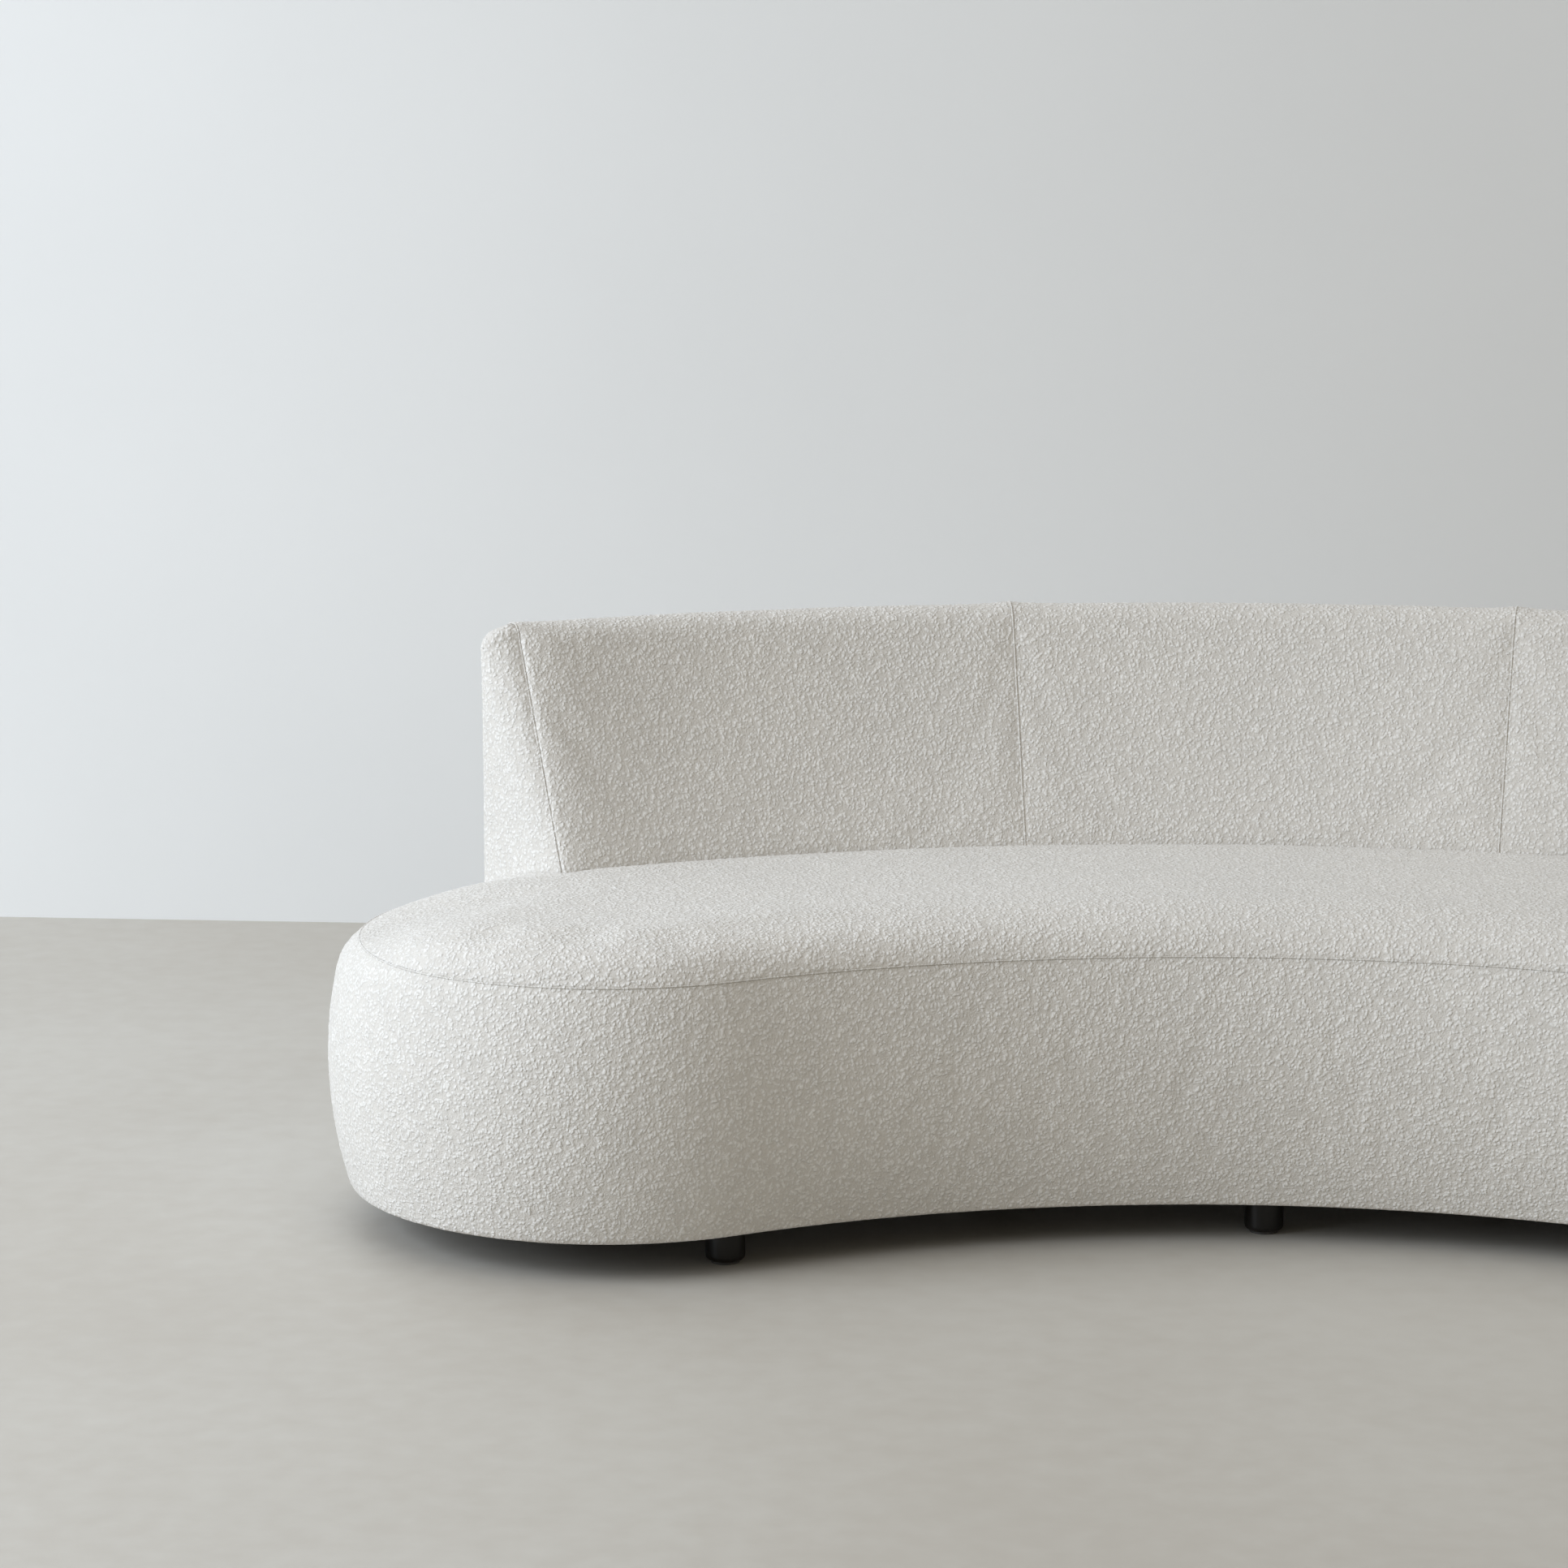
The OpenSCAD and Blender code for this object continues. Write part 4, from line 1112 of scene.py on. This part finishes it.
def make_floor():
    mesh = bpy.data.meshes.new("floor")
    mesh.from_pydata([(-ROOM, -ROOM, 0), (ROOM, -ROOM, 0), (ROOM, ROOM, 0), (-ROOM, ROOM, 0)], [], [(0, 1, 2, 3)])
    floor = new_object("floor", mesh)
    made, n, shader, place_in = new_material("pale_floor", 0.5)
    broad = n.noise(place_in, 0.9, 4.0)
    fine = n.noise(place_in, 24.0, 5.0)
    mix = n.math("ADD", n.math("MULTIPLY", broad, 0.7), n.math("MULTIPLY", fine, 0.3))
    n.feed(shader.inputs["Base Color"], n.blend(n.span(mix, 0.3, 0.7), (0.48, 0.45, 0.40, 1),
                                                (0.55, 0.53, 0.485, 1)))
    shader.inputs["Specular IOR Level"].default_value = 0.5
    bump(n, shader, fine, 0.0008, 0.3)
    clear_from_behind(n, shader)
    mesh.materials.append(made)


def make_wall():
    """Pale wall behind the sofa, seen only from the room's side."""
    mesh = bpy.data.meshes.new("wall")
    corners = [(-ROOM, -0.01), (ROOM, -0.01), (ROOM, WALL_H), (-ROOM, WALL_H)]
    mesh.from_pydata([(x, WALL_Y, z) for x, z in corners], [], [(0, 1, 2, 3)])
    wall = new_object("wall", mesh)
    made, n, shader, place_in = new_material("pale_wall", 0.9)
    broad = n.noise(place_in, 0.8, 3.0)
    n.feed(shader.inputs["Base Color"], n.blend(n.span(broad, 0.3, 0.7), (0.80, 0.81, 0.81, 1),
                                                (0.83, 0.84, 0.84, 1)))
    clear_from_behind(n, shader)
    mesh.materials.append(made)
    wall.visible_shadow = False


def area_light(name, place_at, look_at, size, power, colour):
    data = bpy.data.lights.new(name, "AREA")
    data.shape = "RECTANGLE"
    data.size, data.size_y = size
    data.energy = power
    data.color = colour
    lamp = new_object(name, data)
    lamp.location = place_at
    away = Vector(np.array(look_at) - np.array(place_at))
    lamp.rotation_euler = away.to_track_quat("-Z", "Y").to_euler()


def make_light():
    world = bpy.data.worlds.new("room")
    bpy.context.scene.world = world
    world.use_nodes = True
    sky = world.node_tree.nodes["Background"]
    sky.inputs["Color"].default_value = (1.0, 0.90, 0.73, 1)
    sky.inputs["Strength"].default_value = 0.34
    area_light("window", (-4.5, -2.0, 2.1), (0.3, 0.1, 0.45), (3.0, 2.6), 174, (0.86, 0.95, 1.07))
    overhead = bpy.data.lights.new("overhead", "SUN")
    overhead.energy = 0.95
    overhead.angle = math.radians(90)
    overhead.color = (0.93, 0.98, 1.06)
    new_object("overhead", overhead).rotation_euler = (math.radians(8), math.radians(-14), 0)
    bpy.context.scene.view_settings.view_transform = "Standard"


def make_camera():
    data = bpy.data.cameras.new("camera")
    data.sensor_width = 36
    data.lens = 97.57
    data.clip_end = 60
    camera = new_object("camera", data)
    camera.location = (-0.1866, -5.4734, 1.493)
    camera.rotation_euler = (math.radians(90 - 9.756), 0, math.radians(4.645))
    bpy.context.scene.camera = camera


# ---- Putting it together ----
def curl_up(pad, tree, finish):
    grow(pad, tree, {"Curl Size": NUB, "Curl Height": NUB_HEIGHT, "Finish": finish})


def dress(pad, finish):
    """Gives a pad its cloth and takes off the marks that it was made with."""
    finish_with(pad, finish)
    for name in ("held", "shown"):
        if pad.data.attributes.get(name):
            pad.data.attributes.remove(pad.data.attributes[name])
    pad.data.polygons.foreach_set("use_smooth", [True] * len(pad.data.polygons))


def mark_shown(pad):
    """Everything of a back pad shows except what lies against the frame and below the seat."""
    co = positions(pad.data)
    radius = np.hypot(co[:, 0] - REAR_C[0], co[:, 1] - REAR_C[1])
    face = np.interp(co[:, 2], [SEAT_H, ROLL_CZ + ROLL_R * math.sin(ROLL_START)],
                     [BACK_FRONT_R, ROLL_CR + ROLL_R * math.cos(ROLL_START)])
    outside = (np.abs(radius - face) < 0.022) | (co[:, 2] > ROLL_CZ + 0.001) | (radius > BACK_FACE_R - 0.0135)
    set_attribute(pad.data, "shown", (outside & (co[:, 2] > SEAT_H - 0.02)).astype(float))


def build():
    cloth_group = curled_cloth_group()
    wood_group = grain_group()
    cloth = boucle_material(cloth_group)
    dust = woven_material("dust_cloth", 0.0012, (0.035, 0.035, 0.036, 1), (0.012, 0.012, 0.012, 1))
    steel = steel_material()
    finish_frame({
        "boucle": cloth,
        "foam": foam_material(),
        "birch_ply": plywood_material(wood_group),
        "webbing": woven_material("webbing", 0.0024, (0.10, 0.10, 0.10, 1), (0.03, 0.03, 0.03, 1)),
        "dust_cloth": dust,
        "black_wood": black_wood_material(wood_group),
        "zinc_steel": steel,
        "glide_plastic": plastic_material(),
    })
    relief = relief_tree()
    ridges = seam_tree()

    top = make_seat_top()
    tuck_in(top)
    curl_up(top, relief, cloth)
    close_open_edges(top)
    cut_well(top)
    dress(top, cloth)
    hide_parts("cover_seat_top", "seat_topper")

    side = make_seat_side()
    curl_up(side, relief, cloth)
    dress(side, cloth)
    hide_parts("cover_seat_side", "side_foam_front", "side_foam_rear", "side_foam_left",
                "side_foam_right")

    left = make_inner_panel("back_panel_left", -END_TURN, -PANEL_TURN)
    centre = make_inner_panel("back_panel_centre", -PANEL_TURN, PANEL_TURN)
    right = make_inner_panel("back_panel_right", PANEL_TURN, END_TURN)
    outer = make_outer_panel()
    ends = [make_end_pad("back_end_pad_soft_left", -1), make_end_pad("back_end_pad_soft_right", 1)]
    for pad in (left, centre, right, outer):
        mark_shown(pad)
    for pad in ends:
        set_attribute(pad.data, "shown", np.ones(len(pad.data.vertices)))
    for pad in (left, centre, right, outer, *ends):
        curl_up(pad, relief, cloth)
        close_open_edges(pad)
        dress(pad, cloth)
    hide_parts("cover_back_left", "back_top_roll")
    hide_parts("cover_back_centre", "back_inner_foam")
    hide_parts("cover_back_right")
    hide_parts("cover_back_outer", "back_outer_foam")
    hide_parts("cover_back_end_left", "back_end_pad_left")
    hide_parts("cover_back_end_right", "back_end_pad_right")

    seams = [
        seam("seat_seam", seat_seam_line(), True, ridges, cloth, 0.0011),
        seam("back_seam_left", panel_seam_line(-PANEL_TURN), False, ridges, cloth, 0.0012),
        seam("back_seam_right", panel_seam_line(PANEL_TURN), False, ridges, cloth, 0.0012),
        seam("back_seam_rear", rear_seam_line(), False, ridges, cloth, 0.0012),
        seam("end_seam_left", end_seam_line(-1), False, ridges, cloth, 0.0013),
        seam("end_seam_right", end_seam_line(1), False, ridges, cloth, 0.0013),
    ]
    under = make_dust_cloth(dust)
    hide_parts("dust_cover")
    staples = make_staples(steel)

    for pad in (top, side, left, centre, right, outer, *ends):
        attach(pad, "root")
    for ridge in seams:
        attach(ridge, "root")
    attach(under, "root")
    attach(staples, "root")

    make_floor()
    make_wall()
    make_light()
    make_camera()


build()
